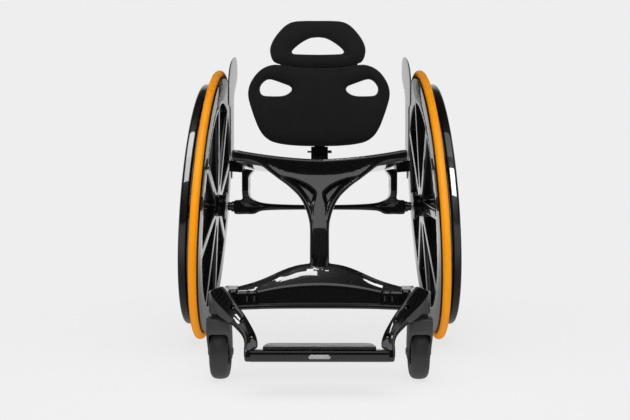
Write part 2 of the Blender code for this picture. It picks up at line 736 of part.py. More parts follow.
# Screws on the front of the leg: between which sections, how far along and across the face
LEG_SCREWS = ((2, 0.24, 0.55), (4, 0.66, 0.5), (7, 0.36, 0.5))
SCREW_RADIUS = 0.0024
SCREW_RECESS = 0.0050
SCREW_DEPTH = 0.0035


def leg_corner(side, corner):
    return Vector((side * corner[0], AXLE_Y - corner[1], corner[2]))


def leg_face_point(side, spot):
    """Point and outward normal on the front face of a leg."""
    index, along, across = spot
    a0, a1 = (leg_corner(side, LEG_SECTIONS[index][k]) for k in (0, 1))
    b0, b1 = (leg_corner(side, LEG_SECTIONS[index + 1][k]) for k in (0, 1))
    outer = a0.lerp(b0, along)
    inner = a1.lerp(b1, along)
    normal = (inner - outer).cross(b0 - a0).normalized()
    if normal.y > 0:
        normal = -normal
    return outer.lerp(inner, across), normal


def screw_frame(side, spot):
    point, normal = leg_face_point(side, spot)
    return Matrix.Translation(point) @ normal.to_track_quat("Z", "Y").to_matrix().to_4x4()


def make_leg(name, side):
    """Front leg with its caster head and the stub that meets the crossbar, plus three screws."""
    sections = []
    for section in LEG_SECTIONS:
        corners = [leg_corner(side, corner) for corner in section]
        ring = []
        for i, here in enumerate(corners):
            before = corners[i - 1]
            after = corners[(i + 1) % len(corners)]
            ring.append(here.lerp(before, LEG_EDGE))
            ring.append(here.lerp(after, LEG_EDGE))
        sections.append(ring)
    leg = place(f"leg_{name}", loft(sections), carbon())

    axis = Matrix.Translation((side * CASTER_X, STEM_Y, 0))
    head = [(HEAD_RADIUS - 0.002, HEAD_BOTTOM_Z), (HEAD_RADIUS, HEAD_BOTTOM_Z + 0.002),
            (HEAD_RADIUS, HEAD_TOP_Z - 0.003), (HEAD_RADIUS - 0.004, HEAD_TOP_Z)]
    combine(leg, place("head", spindle(head, 24, axis), carbon()), "UNION")

    inner = side * (CROSSBAR_HALF_WIDTH + GAP)
    outer = side * (CASTER_X - 0.006)
    stub = [[Vector((x, y, z)) for y, z in (
        (CROSSBAR_FRONT_Y + 0.005, 0.1285), (CROSSBAR_FRONT_Y + 0.001, 0.1330), (CROSSBAR_FRONT_Y + 0.001, 0.1600),
        (CROSSBAR_FRONT_Y + 0.005, 0.1650), (CROSSBAR_BACK_Y - 0.006, 0.1660), (CROSSBAR_BACK_Y - 0.001, 0.1600),
        (CROSSBAR_BACK_Y - 0.001, 0.1330), (CROSSBAR_BACK_Y - 0.005, 0.1285))] for x in (inner, outer)]
    combine(leg, place("stub", loft(stub), carbon()), "UNION")

    bore = [(CARTRIDGE_RADIUS + GAP, HEAD_BOTTOM_Z - 0.02), (CARTRIDGE_RADIUS + GAP, HEAD_TOP_Z - 0.0060)]
    combine(leg, place("bore", spindle(bore, 20, axis), carbon()), "DIFFERENCE")
    for spot in LEG_SCREWS:
        pocket = [(SCREW_RECESS, -SCREW_DEPTH), (SCREW_RECESS, 0.01)]
        combine(leg, place("pocket", spindle(pocket, 12, screw_frame(side, spot)), carbon()), "DIFFERENCE")
    weld(leg)

    for number, spot in enumerate(LEG_SCREWS, 1):
        head = [(SCREW_RADIUS, GAP - SCREW_DEPTH), (SCREW_RADIUS, -0.0008), (SCREW_RADIUS - 0.0006, -0.0002)]
        place(f"leg_screw_{name}_{number}", spindle(head, 10, screw_frame(side, spot)), brass_metal())


def make_footrest():
    """Cross tube between the legs, its plate and the plain insert on its front."""
    tall = FOOT_TUBE_HALF_HEIGHT
    section = rounded([(-0.0115, -tall), (0.0115, -tall), (0.0115, tall), (-0.0115, tall)], 0.006, 3)
    tube = [[Vector((x, FOOT_TUBE_Y + y, FOOT_TUBE_Z + z)) for y, z in section]
            for x in (-FOOT_TUBE_HALF, FOOT_TUBE_HALF)]
    place("foot_tube", loft(tube), carbon())

    back = FOOT_PLATE_BACK_Y
    front = FOOT_TUBE_Y - 0.004
    bend_y = FOOT_TUBE_Y + 0.0125
    outline = rounded([(-FOOT_PLATE_HALF, front), (FOOT_PLATE_HALF, front), (FOOT_PLATE_HALF, bend_y),
                       (FOOT_PLATE_HALF - 0.004, back), (-FOOT_PLATE_HALF + 0.004, back), (-FOOT_PLATE_HALF, bend_y)],
                      [0.006, 0.006, 0, 0.018, 0.018, 0], 4)
    level = FOOT_TUBE_Z + tall + GAP

    def low(u, v, _):
        return level - 0.0057 * max(0.0, (v - bend_y) / (back - bend_y))

    def high(u, v, distance):
        return low(u, v, distance) + FOOT_PLATE_THICK

    def plan_view(u, v, w):
        return Vector((u, v, w))

    bend = [(x * FOOT_PLATE_HALF, bend_y) for x in (-0.8, -0.4, 0.0, 0.4, 0.8)]
    place("foot_plate", plate(outline, [], 0, (), high, low, plan_view, extra=bend), graphite())

    face_y = FOOT_TUBE_Y - 0.0115 - GAP
    insert = rounded([(-0.018, -0.0034), (0.018, -0.0034), (0.018, 0.0034), (-0.018, 0.0034)], 0.0015, 2)
    slab = [[Vector((x, y, FOOT_TUBE_Z + z)) for x, z in insert] for y in (face_y - 0.0010, face_y)]
    place("foot_tube_insert", loft(slab), silver_metal())


def make_caster(name, side):
    """Fork with stem, bearing cartridge, lock nut, axle, hub and tyre of one caster."""
    stem_axis = Matrix.Translation((side * CASTER_X, STEM_Y, 0))
    wheel_y = STEM_Y + CASTER_TRAIL
    axle_axis = Matrix.Translation((side * CASTER_X, wheel_y, CASTER_RADIUS)) @ Matrix.Rotation(math.pi / 2, 4, "Y")
    swivel = empty(f"caster_swivel_{name}", (side * CASTER_X, STEM_Y, FORK_TOP_Z))
    spin = empty(f"caster_axle_line_{name}", (side * CASTER_X, wheel_y, CASTER_RADIUS))
    attach(spin, swivel)

    # Fork: side view cut from one block, hollowed by a round well for the wheel
    side_view = [(-0.0160, 0.1020), (-0.0160, 0.0930), (-0.0110, 0.0800), (0.0060, 0.0600), (0.0170, 0.0460)]
    side_view += [(CASTER_TRAIL + y, CASTER_RADIUS + z) for y, z in arc_points((0, 0), 0.0135, 205, 345, 5)]
    side_view += [(0.0445, 0.0650), (0.0370, 0.0900), (0.0300, 0.1060), (0.0220, FORK_TOP_Z), (-0.0120, FORK_TOP_Z),
                  (-0.0160, FORK_TOP_Z - 0.0040)]
    block = [[Vector((side * CASTER_X + x, STEM_Y + y, z)) for y, z in side_view]
             for x in (-FORK_HALF_WIDTH, FORK_HALF_WIDTH)]
    fork = place(f"caster_fork_{name}", loft(block), graphite())
    throat = FORK_HALF_WIDTH - FORK_ARM
    well = [(FORK_WELL_RADIUS * y, CASTER_RADIUS + FORK_WELL_RADIUS * z) for y, z in arc_points((0, 0), 1.0, 0, 180, 12)]
    well += [(-FORK_WELL_RADIUS, -0.01), (FORK_WELL_RADIUS, -0.01)]
    slot = [[Vector((side * CASTER_X + x, wheel_y + y, z)) for y, z in well] for x in (-throat, throat)]
    combine(fork, place("slot", loft(slot), graphite()), "DIFFERENCE")
    arch = rounded([(-throat, -0.01), (throat, -0.01), (throat, FORK_ARCH_Z), (-throat, FORK_ARCH_Z)],
                   [0, 0, 0.008, 0.008], 3)
    mouth = [[Vector((side * CASTER_X + x, y, z)) for x, z in arch] for y in (STEM_Y - 0.05, wheel_y)]
    combine(fork, place("mouth", loft(mouth), graphite()), "DIFFERENCE")
    stem = [(STEM_SHOULDER, FORK_TOP_Z - 0.002), (STEM_SHOULDER, FORK_TOP_Z + 0.0025),
            (STEM_SHOULDER - 0.0015, FORK_TOP_Z + 0.0030), (STEM_SHOULDER - 0.0015, HEAD_BOTTOM_Z - GAP),
            (0.0085, HEAD_BOTTOM_Z - GAP), (0.0085, HEAD_BOTTOM_Z + 0.0012), (STEM_RADIUS, HEAD_BOTTOM_Z + 0.0012),
            (STEM_RADIUS, HEAD_TOP_Z - 0.0080)]
    combine(fork, place("stem", spindle(stem, 16, stem_axis), graphite()), "UNION")
    axle_hole = [(0.0040 + GAP, -0.03), (0.0040 + GAP, 0.03)]
    combine(fork, place("hole", spindle(axle_hole, 12, axle_axis), graphite()), "DIFFERENCE")
    weld(fork)
    attach(fork, swivel)

    cartridge = [(STEM_RADIUS + GAP, HEAD_BOTTOM_Z + 0.0016), (CARTRIDGE_RADIUS, HEAD_BOTTOM_Z + 0.0016),
                 (CARTRIDGE_RADIUS, HEAD_TOP_Z - 0.0155), (STEM_RADIUS + GAP, HEAD_TOP_Z - 0.0155)]
    place(f"caster_bearing_{name}", lathe(cartridge, 16, stem_axis), silver_metal())
    nut_bore = (STEM_RADIUS + GAP) / math.cos(math.pi / 6)
    nut = [(nut_bore, HEAD_TOP_Z - 0.0150), (0.0092, HEAD_TOP_Z - 0.0150), (0.0092, HEAD_TOP_Z - 0.0090),
           (nut_bore, HEAD_TOP_Z - 0.0090)]
    attach(place(f"stem_nut_{name}", lathe(nut, 6, stem_axis), silver_metal()), swivel)

    axle = [(0.0062, -FORK_HALF_WIDTH - 0.0022), (0.0070, -FORK_HALF_WIDTH - 0.0014), (0.0070, -FORK_HALF_WIDTH - GAP),
            (0.0040, -FORK_HALF_WIDTH - GAP), (0.0040, FORK_HALF_WIDTH + GAP), (0.0070, FORK_HALF_WIDTH + GAP),
            (0.0070, FORK_HALF_WIDTH + 0.0014), (0.0062, FORK_HALF_WIDTH + 0.0022)]
    attach(place(f"caster_axle_{name}", spindle(axle, 12, axle_axis), silver_metal()), swivel)

    hub_radius = 0.0300
    half = CASTER_HALF_WIDTH
    hub = [(0.0040 + GAP, -half + 0.001), (0.011, -half + 0.001), (0.012, -half + 0.004), (0.025, -half + 0.006),
           (0.027, -half + 0.002), (hub_radius, -half + 0.002), (hub_radius, half - 0.002), (0.027, half - 0.002),
           (0.025, half - 0.006), (0.012, half - 0.004), (0.011, half - 0.001), (0.0040 + GAP, half - 0.001)]
    attach(place(f"caster_hub_{name}", lathe(hub, 16, axle_axis), black_metal()), spin)
    tread = [(hub_radius + GAP, -half + 0.002), (0.038, -half), (0.0452, -half + 0.0022), (0.0490, -half + 0.0080),
             (CASTER_RADIUS, -half + 0.0145), (CASTER_RADIUS, half - 0.0145), (0.0490, half - 0.0080),
             (0.0452, half - 0.0022), (0.038, half), (hub_radius + GAP, half - 0.002)]
    attach(place(f"caster_tyre_{name}", lathe(tread, 28, axle_axis), black_rubber()), spin)


def seat_top(x, y):
    t = (y - SEAT_FRONT_Y) / (SEAT_REAR_Y - SEAT_FRONT_Y)
    return blend(SEAT_MID_FRONT_Z, SEAT_MID_REAR_Z, t) + SEAT_SAG * (x / SEAT_HALF_WIDTH) ** 2


def make_seat_pan():
    """Thin carbon pan, dished from side to side and lower at the rear."""
    corners = [(-SEAT_HALF_WIDTH, SEAT_FRONT_Y), (SEAT_HALF_WIDTH, SEAT_FRONT_Y),
               (SEAT_HALF_WIDTH, SEAT_REAR_Y), (-SEAT_HALF_WIDTH, SEAT_REAR_Y)]
    raw = rounded(corners, [0, 0, 0.03, 0.03], 4)
    outline = []
    for here, after in zip(raw, raw[1:] + raw[:1]):
        pieces = max(1, round(math.dist(here, after) / 0.055))
        for step in range(pieces):
            t = step / pieces
            outline.append((blend(here[0], after[0], t), blend(here[1], after[1], t)))

    def high(x, y, _):
        return seat_top(x, y)

    def low(x, y, _):
        return seat_top(x, y) - SEAT_THICK

    def plan_view(u, v, w):
        return Vector((u, v, w))

    place("seat_pan", plate(outline, [], 0.055, (), high, low, plan_view), carbon())


def make_rear_frame():
    """Two deep posts under the pan, the flat axle bar between them and the two axle housings."""
    under = SEAT_THICK + 0.0008
    inner, outer = POST_INNER_X, POST_OUTER_X
    seat_level = [(x, seat_top(x, SEAT_REAR_Y) - under) for x in (0.1485, SEAT_HALF_WIDTH)]
    half = [
        (0.0, AXLE_BAR_MID_Z + 0.0055), (0.060, AXLE_BAR_MID_Z + 0.0060), (0.105, AXLE_BAR_MID_Z + 0.0078),
        (0.130, AXLE_BAR_MID_Z + 0.0105), (0.1435, AXLE_BAR_MID_Z + 0.0145), (0.1535, AXLE_BAR_MID_Z + 0.0195),
        (inner - 0.0012, AXLE_BAR_MID_Z + 0.0250), (inner, AXLE_BAR_MID_Z + 0.0310), (inner, 0.3640),
        (inner - 0.0015, 0.3700), (inner - 0.0050, 0.3755), seat_level[0], seat_level[1],
        (outer, POST_TOP_Z), (outer, HOUSING_TOP_Z + 0.006), (outer + 0.005, HOUSING_TOP_Z),
        (HOUSING_END_X - 0.002, HOUSING_TOP_Z - 0.002), (HOUSING_END_X, HOUSING_TOP_Z - 0.005),
        (HOUSING_END_X, HOUSING_BOTTOM_Z + 0.004), (HOUSING_END_X - 0.004, HOUSING_BOTTOM_Z),
        (0.1480, HOUSING_BOTTOM_Z), (0.1330, AXLE_BAR_MID_Z - 0.0085), (0.100, AXLE_BAR_MID_Z - 0.0062),
        (0.050, AXLE_BAR_MID_Z - 0.0056), (0.0, AXLE_BAR_MID_Z - 0.0055),
    ]
    outline = mirrored(half)

    def reach(x, z):
        """Half depth: shallow housings, deep posts and pan edge."""
        housing = 0.019
        bar = blend(0.017, 0.024, (z - AXLE_BAR_MID_Z) / 0.02)
        post = (POST_REAR_Y - POST_FRONT_Y) / 2
        if abs(x) > outer:
            return housing
        return blend(bar, post, (z - 0.314) / 0.020)

    def middle(z):
        return blend(AXLE_Y, (POST_REAR_Y + POST_FRONT_Y) / 2, (z - 0.314) / 0.020)

    def front(x, z, distance):
        return middle(z) - reach(x, z) + edge_round(distance, 0.004)

    def back(x, z, distance):
        return middle(z) + reach(x, z) - edge_round(distance, 0.004)

    frame = place("rear_frame", plate(outline, [], 0.016, (0.0035,), front, back, front_view), carbon())
    for _, side in SIDES:
        axis = wheel_frame(side)
        bore = [(RECEIVER_RADIUS + GAP, -0.0502), (RECEIVER_RADIUS + GAP, -0.0650), (PIN_RADIUS + 0.001, -0.0650),
                (PIN_RADIUS + 0.001, PIN_INNER_END - 0.0030)]
        clearance = [(RECEIVER_FLANGE + 0.0006, -0.02), (RECEIVER_FLANGE + 0.0006, -0.0503)]
        combine(frame, place("bore", spindle(bore, 16, axis), carbon()), "DIFFERENCE")
        combine(frame, place("mouth", spindle(clearance, 16, axis), carbon()), "DIFFERENCE")
    return weld(frame)


def back_surface(x):
    """Fore and aft position of the shell's back: the sides wrap forward."""
    return SHELL_BACK_Y - BACK_WRAP * x * x


BACK_PAD_HALF = ((0.0, 0.6165), (0.050, 0.6185), (0.0950, 0.6240), (0.1150, 0.6210), (0.1300, 0.6135), (0.1430, 0.6015),
                 (0.1550, 0.5830), (0.1608, 0.5640), (0.1600, 0.5450), (0.1530, 0.5200), (0.1455, 0.4985),
                 (0.1378, 0.4800), (0.1262, 0.4621), (0.1080, 0.4490), (0.0815, 0.4425), (0.0450, 0.4392),
                 (0.0, 0.4385))
BACK_PAD_HOLE = ((0.1120, 0.5905), (0.1225, 0.5870), (0.1315, 0.5770), (0.1345, 0.5660), (0.1290, 0.5545),
                 (0.1110, 0.5522), (0.0840, 0.5530), (0.0690, 0.5590), (0.0615, 0.5680), (0.0660, 0.5750),
                 (0.0800, 0.5805), (0.0960, 0.5862))
UPPER_PAD_HALF = ((0.0, 0.7240), (0.030, 0.7239), (0.0560, 0.7215), (0.0735, 0.7130), (0.0880, 0.6985),
                  (0.1005, 0.6815), (0.1080, 0.6640), (0.1085, 0.6500), (0.1035, 0.6345), (0.0920, 0.6262),
                  (0.0550, 0.6203), (0.0, 0.6182))
UPPER_PAD_HOLE_HALF = ((0.0, 0.6866), (0.0155, 0.6850), (0.0285, 0.6795), (0.0425, 0.6707), (0.0545, 0.6607),
                       (0.0598, 0.6530), (0.0570, 0.6488), (0.0, 0.6473))


def shifted(loop, offset):
    return [(x + offset, z) for x, z in loop]


def curved(knots, pitch):
    """Closed Catmull-Rom curve through the knots, cut into pieces of about the pitch."""
    points = []
    count = len(knots)
    for i in range(count):
        p0, p1, p2, p3 = (Vector(knots[(i + k) % count]) for k in (-1, 0, 1, 2))
        pieces = max(1, round((p2 - p1).length / pitch))
        for step in range(pieces):
            t = step / pieces
            point = 0.5 * (2 * p1 + (p2 - p0) * t + (2 * p0 - 5 * p1 + 4 * p2 - p3) * t * t
                           + (3 * p1 - p0 - 3 * p2 + p3) * t ** 3)
            points.append(tuple(point))
    return points


def shrink(loop, distance):
    """Move each point of an outline inward by a distance."""
    count = len(loop)
    area = sum(loop[i - 1][0] * loop[i][1] - loop[i][0] * loop[i - 1][1] for i in range(count))
    sign = 1 if area > 0 else -1
    moved = []
    for i in range(count):
        tangent = Vector(loop[(i + 1) % count]) - Vector(loop[i - 1])
        normal = Vector((-tangent.y, tangent.x)).normalized() * sign
        moved.append(tuple(Vector(loop[i]) + normal * distance))
    return moved


def make_backrest():
    """Socket, hinge pin, post, carbon shell and the two pads."""
    hinge = empty("backrest_hinge", (0, BACK_PIVOT_Y, BACK_PIVOT_Z))
    pivot = Vector((0, BACK_PIVOT_Y, BACK_PIVOT_Z))

    # Fixed socket: a base on the seat pan with two ears beside the post's tongue
    seat_z = seat_top(0, SEAT_REAR_Y) + 0.0010
    ear_front, ear_back = BACK_PIVOT_Y - 0.012, BACK_PIVOT_Y + 0.012
    base_front = SEAT_REAR_Y - 0.060
    front_z = seat_top(0, base_front) + 0.0010
    side_view = [(base_front, front_z), (base_front, front_z + 0.006), (ear_front - 0.004, seat_z + 0.014)]
    side_view += [(ear_front, BACK_PIVOT_Z - 0.004)]
    side_view += [(BACK_PIVOT_Y - y, BACK_PIVOT_Z + z) for y, z in arc_points((0, 0), 0.012, 20, 160, 5)]
    side_view += [(ear_back, seat_z - 0.020), (SEAT_REAR_Y + 0.002, seat_z - 0.020), (SEAT_REAR_Y + 0.002, seat_z)]
    block = [[Vector((x, y, z)) for y, z in side_view] for x in (-POST_HALF_WIDTH, POST_HALF_WIDTH)]
    socket = place("backrest_socket", loft(block), black_metal())
    gap_half = TONGUE_HALF_WIDTH + GAP
    notch = [[Vector((x, y, z)) for y, z in ((BACK_PIVOT_Y - 0.05, BACK_PIVOT_Z - 0.0110),
                                            (BACK_PIVOT_Y + 0.05, BACK_PIVOT_Z - 0.0110),
                                            (BACK_PIVOT_Y + 0.05, BACK_PIVOT_Z + 0.03),
                                            (BACK_PIVOT_Y - 0.05, BACK_PIVOT_Z + 0.03))] for x in (-gap_half, gap_half)]
    combine(socket, place("notch", loft(notch), black_metal()), "DIFFERENCE")
    pin_axis = Matrix.Translation(pivot) @ Matrix.Rotation(math.pi / 2, 4, "Y")
    hole = [(BACK_PIN_RADIUS + GAP, -0.05), (BACK_PIN_RADIUS + GAP, 0.05)]
    combine(socket, place("hole", spindle(hole, 12, pin_axis), black_metal()), "DIFFERENCE")
    weld(socket)

    reach = BACK_PIN_HALF_LENGTH
    pin = [(BACK_PIN_RADIUS, -reach), (BACK_PIN_RADIUS, POST_HALF_WIDTH + GAP), (0.0036, POST_HALF_WIDTH + GAP),
           (0.0036, reach - 0.001), (0.0026, reach)]
    place("backrest_pin", spindle(pin, 12, pin_axis), silver_metal())

    # Post: a tongue on the pin that widens to the full post above the ears
    front = SHELL_BACK_Y + 0.0022
    back = front + 0.024
    tongue_front = BACK_PIVOT_Y - 0.0100
    tongue_back = BACK_PIVOT_Y + 0.0100
    tongue_view = [(BACK_PIVOT_Y + y, BACK_PIVOT_Z + z) for y, z in arc_points((0, 0), 0.0100, 180, 360, 6)]
    tongue_view += [(tongue_back, BACK_PIVOT_Z + 0.030), (tongue_front, BACK_PIVOT_Z + 0.030)]
    tongue = [[Vector((x, y, z)) for y, z in tongue_view] for x in (-TONGUE_HALF_WIDTH, TONGUE_HALF_WIDTH)]
    post = place("backrest_post", loft(tongue), carbon())
    section = rounded([(-POST_HALF_WIDTH, front), (POST_HALF_WIDTH, front), (POST_HALF_WIDTH, back),
                       (-POST_HALF_WIDTH, back)], 0.007, 2)
    bar = [[Vector((x, y, z)) for x, y in section] for z in (BACK_PIVOT_Z + 0.0135, BACK_POST_TOP_Z)]
    combine(post, place("bar", loft(bar), carbon()), "UNION")
    combine(post, place("hole", spindle(hole, 12, pin_axis), carbon()), "DIFFERENCE")
    attach(weld(post), hinge)

    back_outline = curved(shifted(mirrored(BACK_PAD_HALF), BACK_PAD_SHIFT), 0.017)
    holes = [shifted(hole, BACK_PAD_SHIFT) for hole in (BACK_PAD_HOLE, [(-x, z) for x, z in BACK_PAD_HOLE])]
    upper_outline = curved(shifted(mirrored(UPPER_PAD_HALF), UPPER_PAD_SHIFT), 0.017)
    upper_hole = shifted(mirrored(UPPER_PAD_HOLE_HALF), UPPER_PAD_SHIFT)

    # Shell: one carbon sheet behind both pads, waisted where they meet
    shell_half = [(0.0, 0.7180)] + [(x - 0.006, z - 0.004) for x, z in UPPER_PAD_HALF[2:8]]
    shell_half += [(0.0890, 0.6280), (0.0930, 0.6150)] + [(x - 0.007, z) for x, z in BACK_PAD_HALF[4:13]]
    shell_half += [(0.1020, 0.4560), (0.0600, 0.4500), (0.0, 0.4490)]
    shell_holes = [shrink(hole, -0.003) for hole in holes] + [shrink(upper_hole, -0.003)]

    def shell_back(x, z, _):
        return back_surface(x)

    def shell_front(x, z, _):
        return back_surface(x) - SHELL_THICK

    shell = plate(shifted(mirrored(shell_half), BACK_PAD_SHIFT), shell_holes, 0.045, (), shell_front, shell_back, front_view)
    attach(place("backrest_shell", shell, carbon()), hinge)

    def pad(name, outline, openings, spacing):
        crown = PAD_CROWN - PAD_EDGE

        def rear(x, z, _):
            return back_surface(x) - SHELL_THICK - PAD_BACKING

        def face(x, z, distance):
            rise = math.sqrt(max(0.0, 1.0 - (1.0 - min(1.0, distance / 0.026)) ** 2))
            return rear(x, z, distance) - PAD_EDGE * 0.55 - (PAD_EDGE * 0.45 + crown) * rise

        body = plate(outline, openings, spacing, (0.0035, 0.0120), face, rear, front_view)
        attach(place(name, body, pad_fabric()), hinge)

    pad("backrest_pad", back_outline, holes, 0.026)
    pad("upper_pad", upper_outline, [upper_hole], 0.024)


# Side guard outline as (distance behind the axle, height), from the front foot upward
GUARD_OUTLINE = ((0.0060, 0.4090), (-0.0060, 0.4130), (-0.0060, 0.5180), (-0.0140, 0.5260), (-0.0390, 0.5290),
                 (-0.0430, 0.5500), (-0.0400, 0.5760), (-0.0180, 0.6080), (0.0250, 0.6330), (0.0780, 0.6490),
                 (0.1280, 0.6570), (0.1580, 0.6530), (0.1700, 0.6370), (0.1660, 0.6110), (0.1300, 0.5880),
                 (0.0900, 0.5640), (0.0750, 0.5350), (0.0740, 0.4700), (0.0720, 0.4130), (0.0620, 0.4090),
                 (0.0490, 0.4080), (0.0490, 0.3700), (0.0340, 0.3640), (0.0190, 0.3700), (0.0190, 0.4080))


def make_guard(name, side):
    """Carbon guard whose tongue drops through a slotted bracket on the rear post."""

    def side_view(u, v, w):
        return Vector((side * w, AXLE_Y + u, v))

    def outer(u, v, _):
        return GUARD_X + GUARD_THICK / 2

    def inner(u, v, _):
        return GUARD_X - GUARD_THICK / 2

    guard = plate(list(GUARD_OUTLINE), [], 0, (), outer, inner, side_view)
    place(f"side_guard_{name}", guard, carbon())

    half_slot = GUARD_THICK / 2 + GAP
    plan = [(POST_OUTER_X + GAP, 0.0), (GUARD_X + 0.0045, 0.012), (GUARD_X + 0.0045, 0.056), (POST_OUTER_X + GAP, 0.068)]
    block = [[Vector((side * x, AXLE_Y + y - 0.020 * (z == BRACKET_BOTTOM_Z) * (x < 0.18), z)) for x, y in plan]
             for z in (BRACKET_BOTTOM_Z, BRACKET_TOP_Z)]
    bracket = place(f"guard_bracket_{name}", loft(block), black_metal())
    slot = [[Vector((side * x, AXLE_Y + y, z)) for x, y in ((GUARD_X - half_slot, 0.019 - GAP), (GUARD_X + half_slot, 0.019 - GAP),
                                                           (GUARD_X + half_slot, 0.049 + GAP), (GUARD_X - half_slot, 0.049 + GAP))]
            for z in (0.35, 0.43)]
    combine(bracket, place("slot", loft(slot), black_metal()), "DIFFERENCE")
    weld(bracket)


def main():
    clear_scene()
    make_front_frame()
    make_seat_pan()
    make_rear_frame()
    make_footrest()
    for name, side in SIDES:
        make_leg(name, side)
        make_caster(name, side)
        make_rear_wheel(name, side)
        make_guard(name, side)
    make_backrest()


main()
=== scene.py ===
"""Looks of a rigid-frame active wheelchair: glossy twill carbon, orange tyres and black knitted pads."""
import json
import math
from math import cos, pi, radians, sin

import bmesh
import bpy
import numpy as np
from mathutils import Matrix, Vector
from mathutils.geometry import delaunay_2d_cdt
from mathutils.kdtree import KDTree


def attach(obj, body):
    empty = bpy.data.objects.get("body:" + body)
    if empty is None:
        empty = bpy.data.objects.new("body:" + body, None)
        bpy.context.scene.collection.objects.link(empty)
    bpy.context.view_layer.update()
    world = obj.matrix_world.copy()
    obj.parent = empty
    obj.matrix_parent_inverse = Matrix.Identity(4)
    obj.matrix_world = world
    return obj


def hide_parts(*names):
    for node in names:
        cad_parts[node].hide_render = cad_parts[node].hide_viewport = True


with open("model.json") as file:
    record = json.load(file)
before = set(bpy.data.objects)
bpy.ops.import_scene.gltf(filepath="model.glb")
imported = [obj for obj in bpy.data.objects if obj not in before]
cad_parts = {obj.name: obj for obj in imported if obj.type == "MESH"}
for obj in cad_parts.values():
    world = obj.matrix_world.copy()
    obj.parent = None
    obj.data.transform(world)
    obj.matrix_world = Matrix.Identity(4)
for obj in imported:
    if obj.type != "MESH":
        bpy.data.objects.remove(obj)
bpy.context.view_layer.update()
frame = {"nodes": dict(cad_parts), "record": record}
BODY_OF = {node: body for body, nodes in frame["record"]["behaviour"]["bodies"].items() for node in nodes}
SLOT_OF = {part["node"]: part["material_slot"] for part in frame["record"]["subparts"]}

# Layout, the same named sizes as the solid model, in metres
AXLE_Y = 0.1384
SIDES = (("left", -1.0), ("right", 1.0))
WHEEL_RADIUS = 0.305
CAMBER = radians(4.27)
HALF_TRACK = 0.2455
TYRE_SECTION = 0.0084
RIM_OUTER = WHEEL_RADIUS - 2 * TYRE_SECTION - 0.0003
RIM_BULGE_RADIUS = 0.263
RIM_BULGE_HALF = 0.012
RIM_EDGE_HALF = 0.011
WINDOW_OUTER = 0.232
WINDOW_INNER = 0.047
WINDOW_EDGE_HALF = 0.0114
HUB_DISC_HALF = 0.014
HUB_INNER_FACE = -0.0325
SPOKES = 8
SPOKE_HALF_WIDTH = 0.011
SPOKE_PHASE = {"left": radians(21.0), "right": radians(-3.0)}
HANDRIM_OUTER = 0.2725
HANDRIM_TUBE = 0.0095
HANDRIM_OFFSET = 0.0245
HANDRIM_SQUARENESS = 0.58
BEAM_HALF_WIDTH = 0.17
BEAM_FRONT_Y = AXLE_Y - 0.335
BEAM_BACK_Y = AXLE_Y - 0.296
BEAM_TOP_END = 0.4216
BEAM_TOP_MID = 0.402
BEAM_BOTTOM_END = 0.398
COLUMN_HALF_WIDTH = 0.018
COLUMN_LEAN = 0.486
COLUMN_DEPTH = 0.044
COLUMN_TOP_Z = 0.375
COLUMN_BOTTOM_Z = 0.15
COLUMN_BEND_Z = 0.2695
BEND_SOFTNESS = 0.0012
BOW_UPPER = 0.03
BOW_LOWER = 0.022
FOOT_RIDGE_Z = 0.226
CROSSBAR_HALF_WIDTH = 0.15
CROSSBAR_FRONT_Y = AXLE_Y - 0.452
CROSSBAR_BACK_Y = AXLE_Y - 0.39
CROSSBAR_BOTTOM_Z = 0.13
CROSSBAR_CORNER_Z = 0.176
CASTER_X = 0.18
STEM_Y = AXLE_Y - 0.462
CASTER_TRAIL = 0.032
CASTER_RADIUS = 0.05
CASTER_HALF_WIDTH = 0.0168
FORK_HALF_WIDTH = 0.0207
FORK_TOP_Z = 0.116
FORK_ARM = 0.0034
FORK_WELL_RADIUS = 0.053
FORK_ARCH_Z = 0.088
HEAD_RADIUS = 0.018
HEAD_BOTTOM_Z = 0.1236
HEAD_TOP_Z = 0.166
FOOT_TUBE_HALF = 0.1122
FOOT_TUBE_Z = 0.0693
FOOT_TUBE_HALF_HEIGHT = 0.0098
FOOT_TUBE_HALF_DEPTH = 0.0115
FOOT_TUBE_Y = AXLE_Y - 0.569
FOOT_PLATE_THICK = 0.004
SEAT_HALF_WIDTH = 0.1655
SEAT_FRONT_Y = BEAM_BACK_Y + 0.0003
SEAT_REAR_Y = AXLE_Y + 0.02
SEAT_THICK = 0.005
SEAT_MID_FRONT_Z = 0.386
SEAT_MID_REAR_Z = 0.375
SEAT_SAG = 0.0171
POST_INNER_X = 0.1592
POST_OUTER_X = 0.1742
POST_FRONT_Y = AXLE_Y - 0.045
POST_REAR_Y = AXLE_Y + 0.024
POST_TOP_Z = 0.385
AXLE_BAR_MID_Z = 0.299
HOUSING_TOP_Z = 0.316
HOUSING_BOTTOM_Z = 0.2835
HOUSING_END_X = 0.1946
BACK_PIVOT_Y = AXLE_Y + 0.034
BACK_PIVOT_Z = 0.4264
POST_HALF_WIDTH = 0.0195
POST_DEPTH = 0.024
BACK_POST_TOP_Z = 0.64
TONGUE_HALF_WIDTH = 0.0125
TONGUE_RADIUS = 0.01
SHELL_BACK_Y = AXLE_Y + 0.0205
SHELL_THICK = 0.004
PAD_CROWN = 0.024
PAD_EDGE = 0.013
PAD_BACKING = 0.001
PAD_ROUND = 0.026
PAD_STEP = 0.55
BACK_WRAP = 0.55
BACK_PAD_SHIFT = -0.0015
UPPER_PAD_SHIFT = -0.004
GUARD_X = 0.2035
GUARD_THICK = 0.003
BRACKET_TOP_Z = 0.406
BRACKET_BOTTOM_Z = 0.378
GAP = 0.0003

# Brightness of the backdrop, level and size of the floor, strength of the small panels
BACKDROP = 0.855
FLOOR_Z = -0.0004
FLOOR_RADIUS = 30.0
STREAK_RADIANCE = 14.0

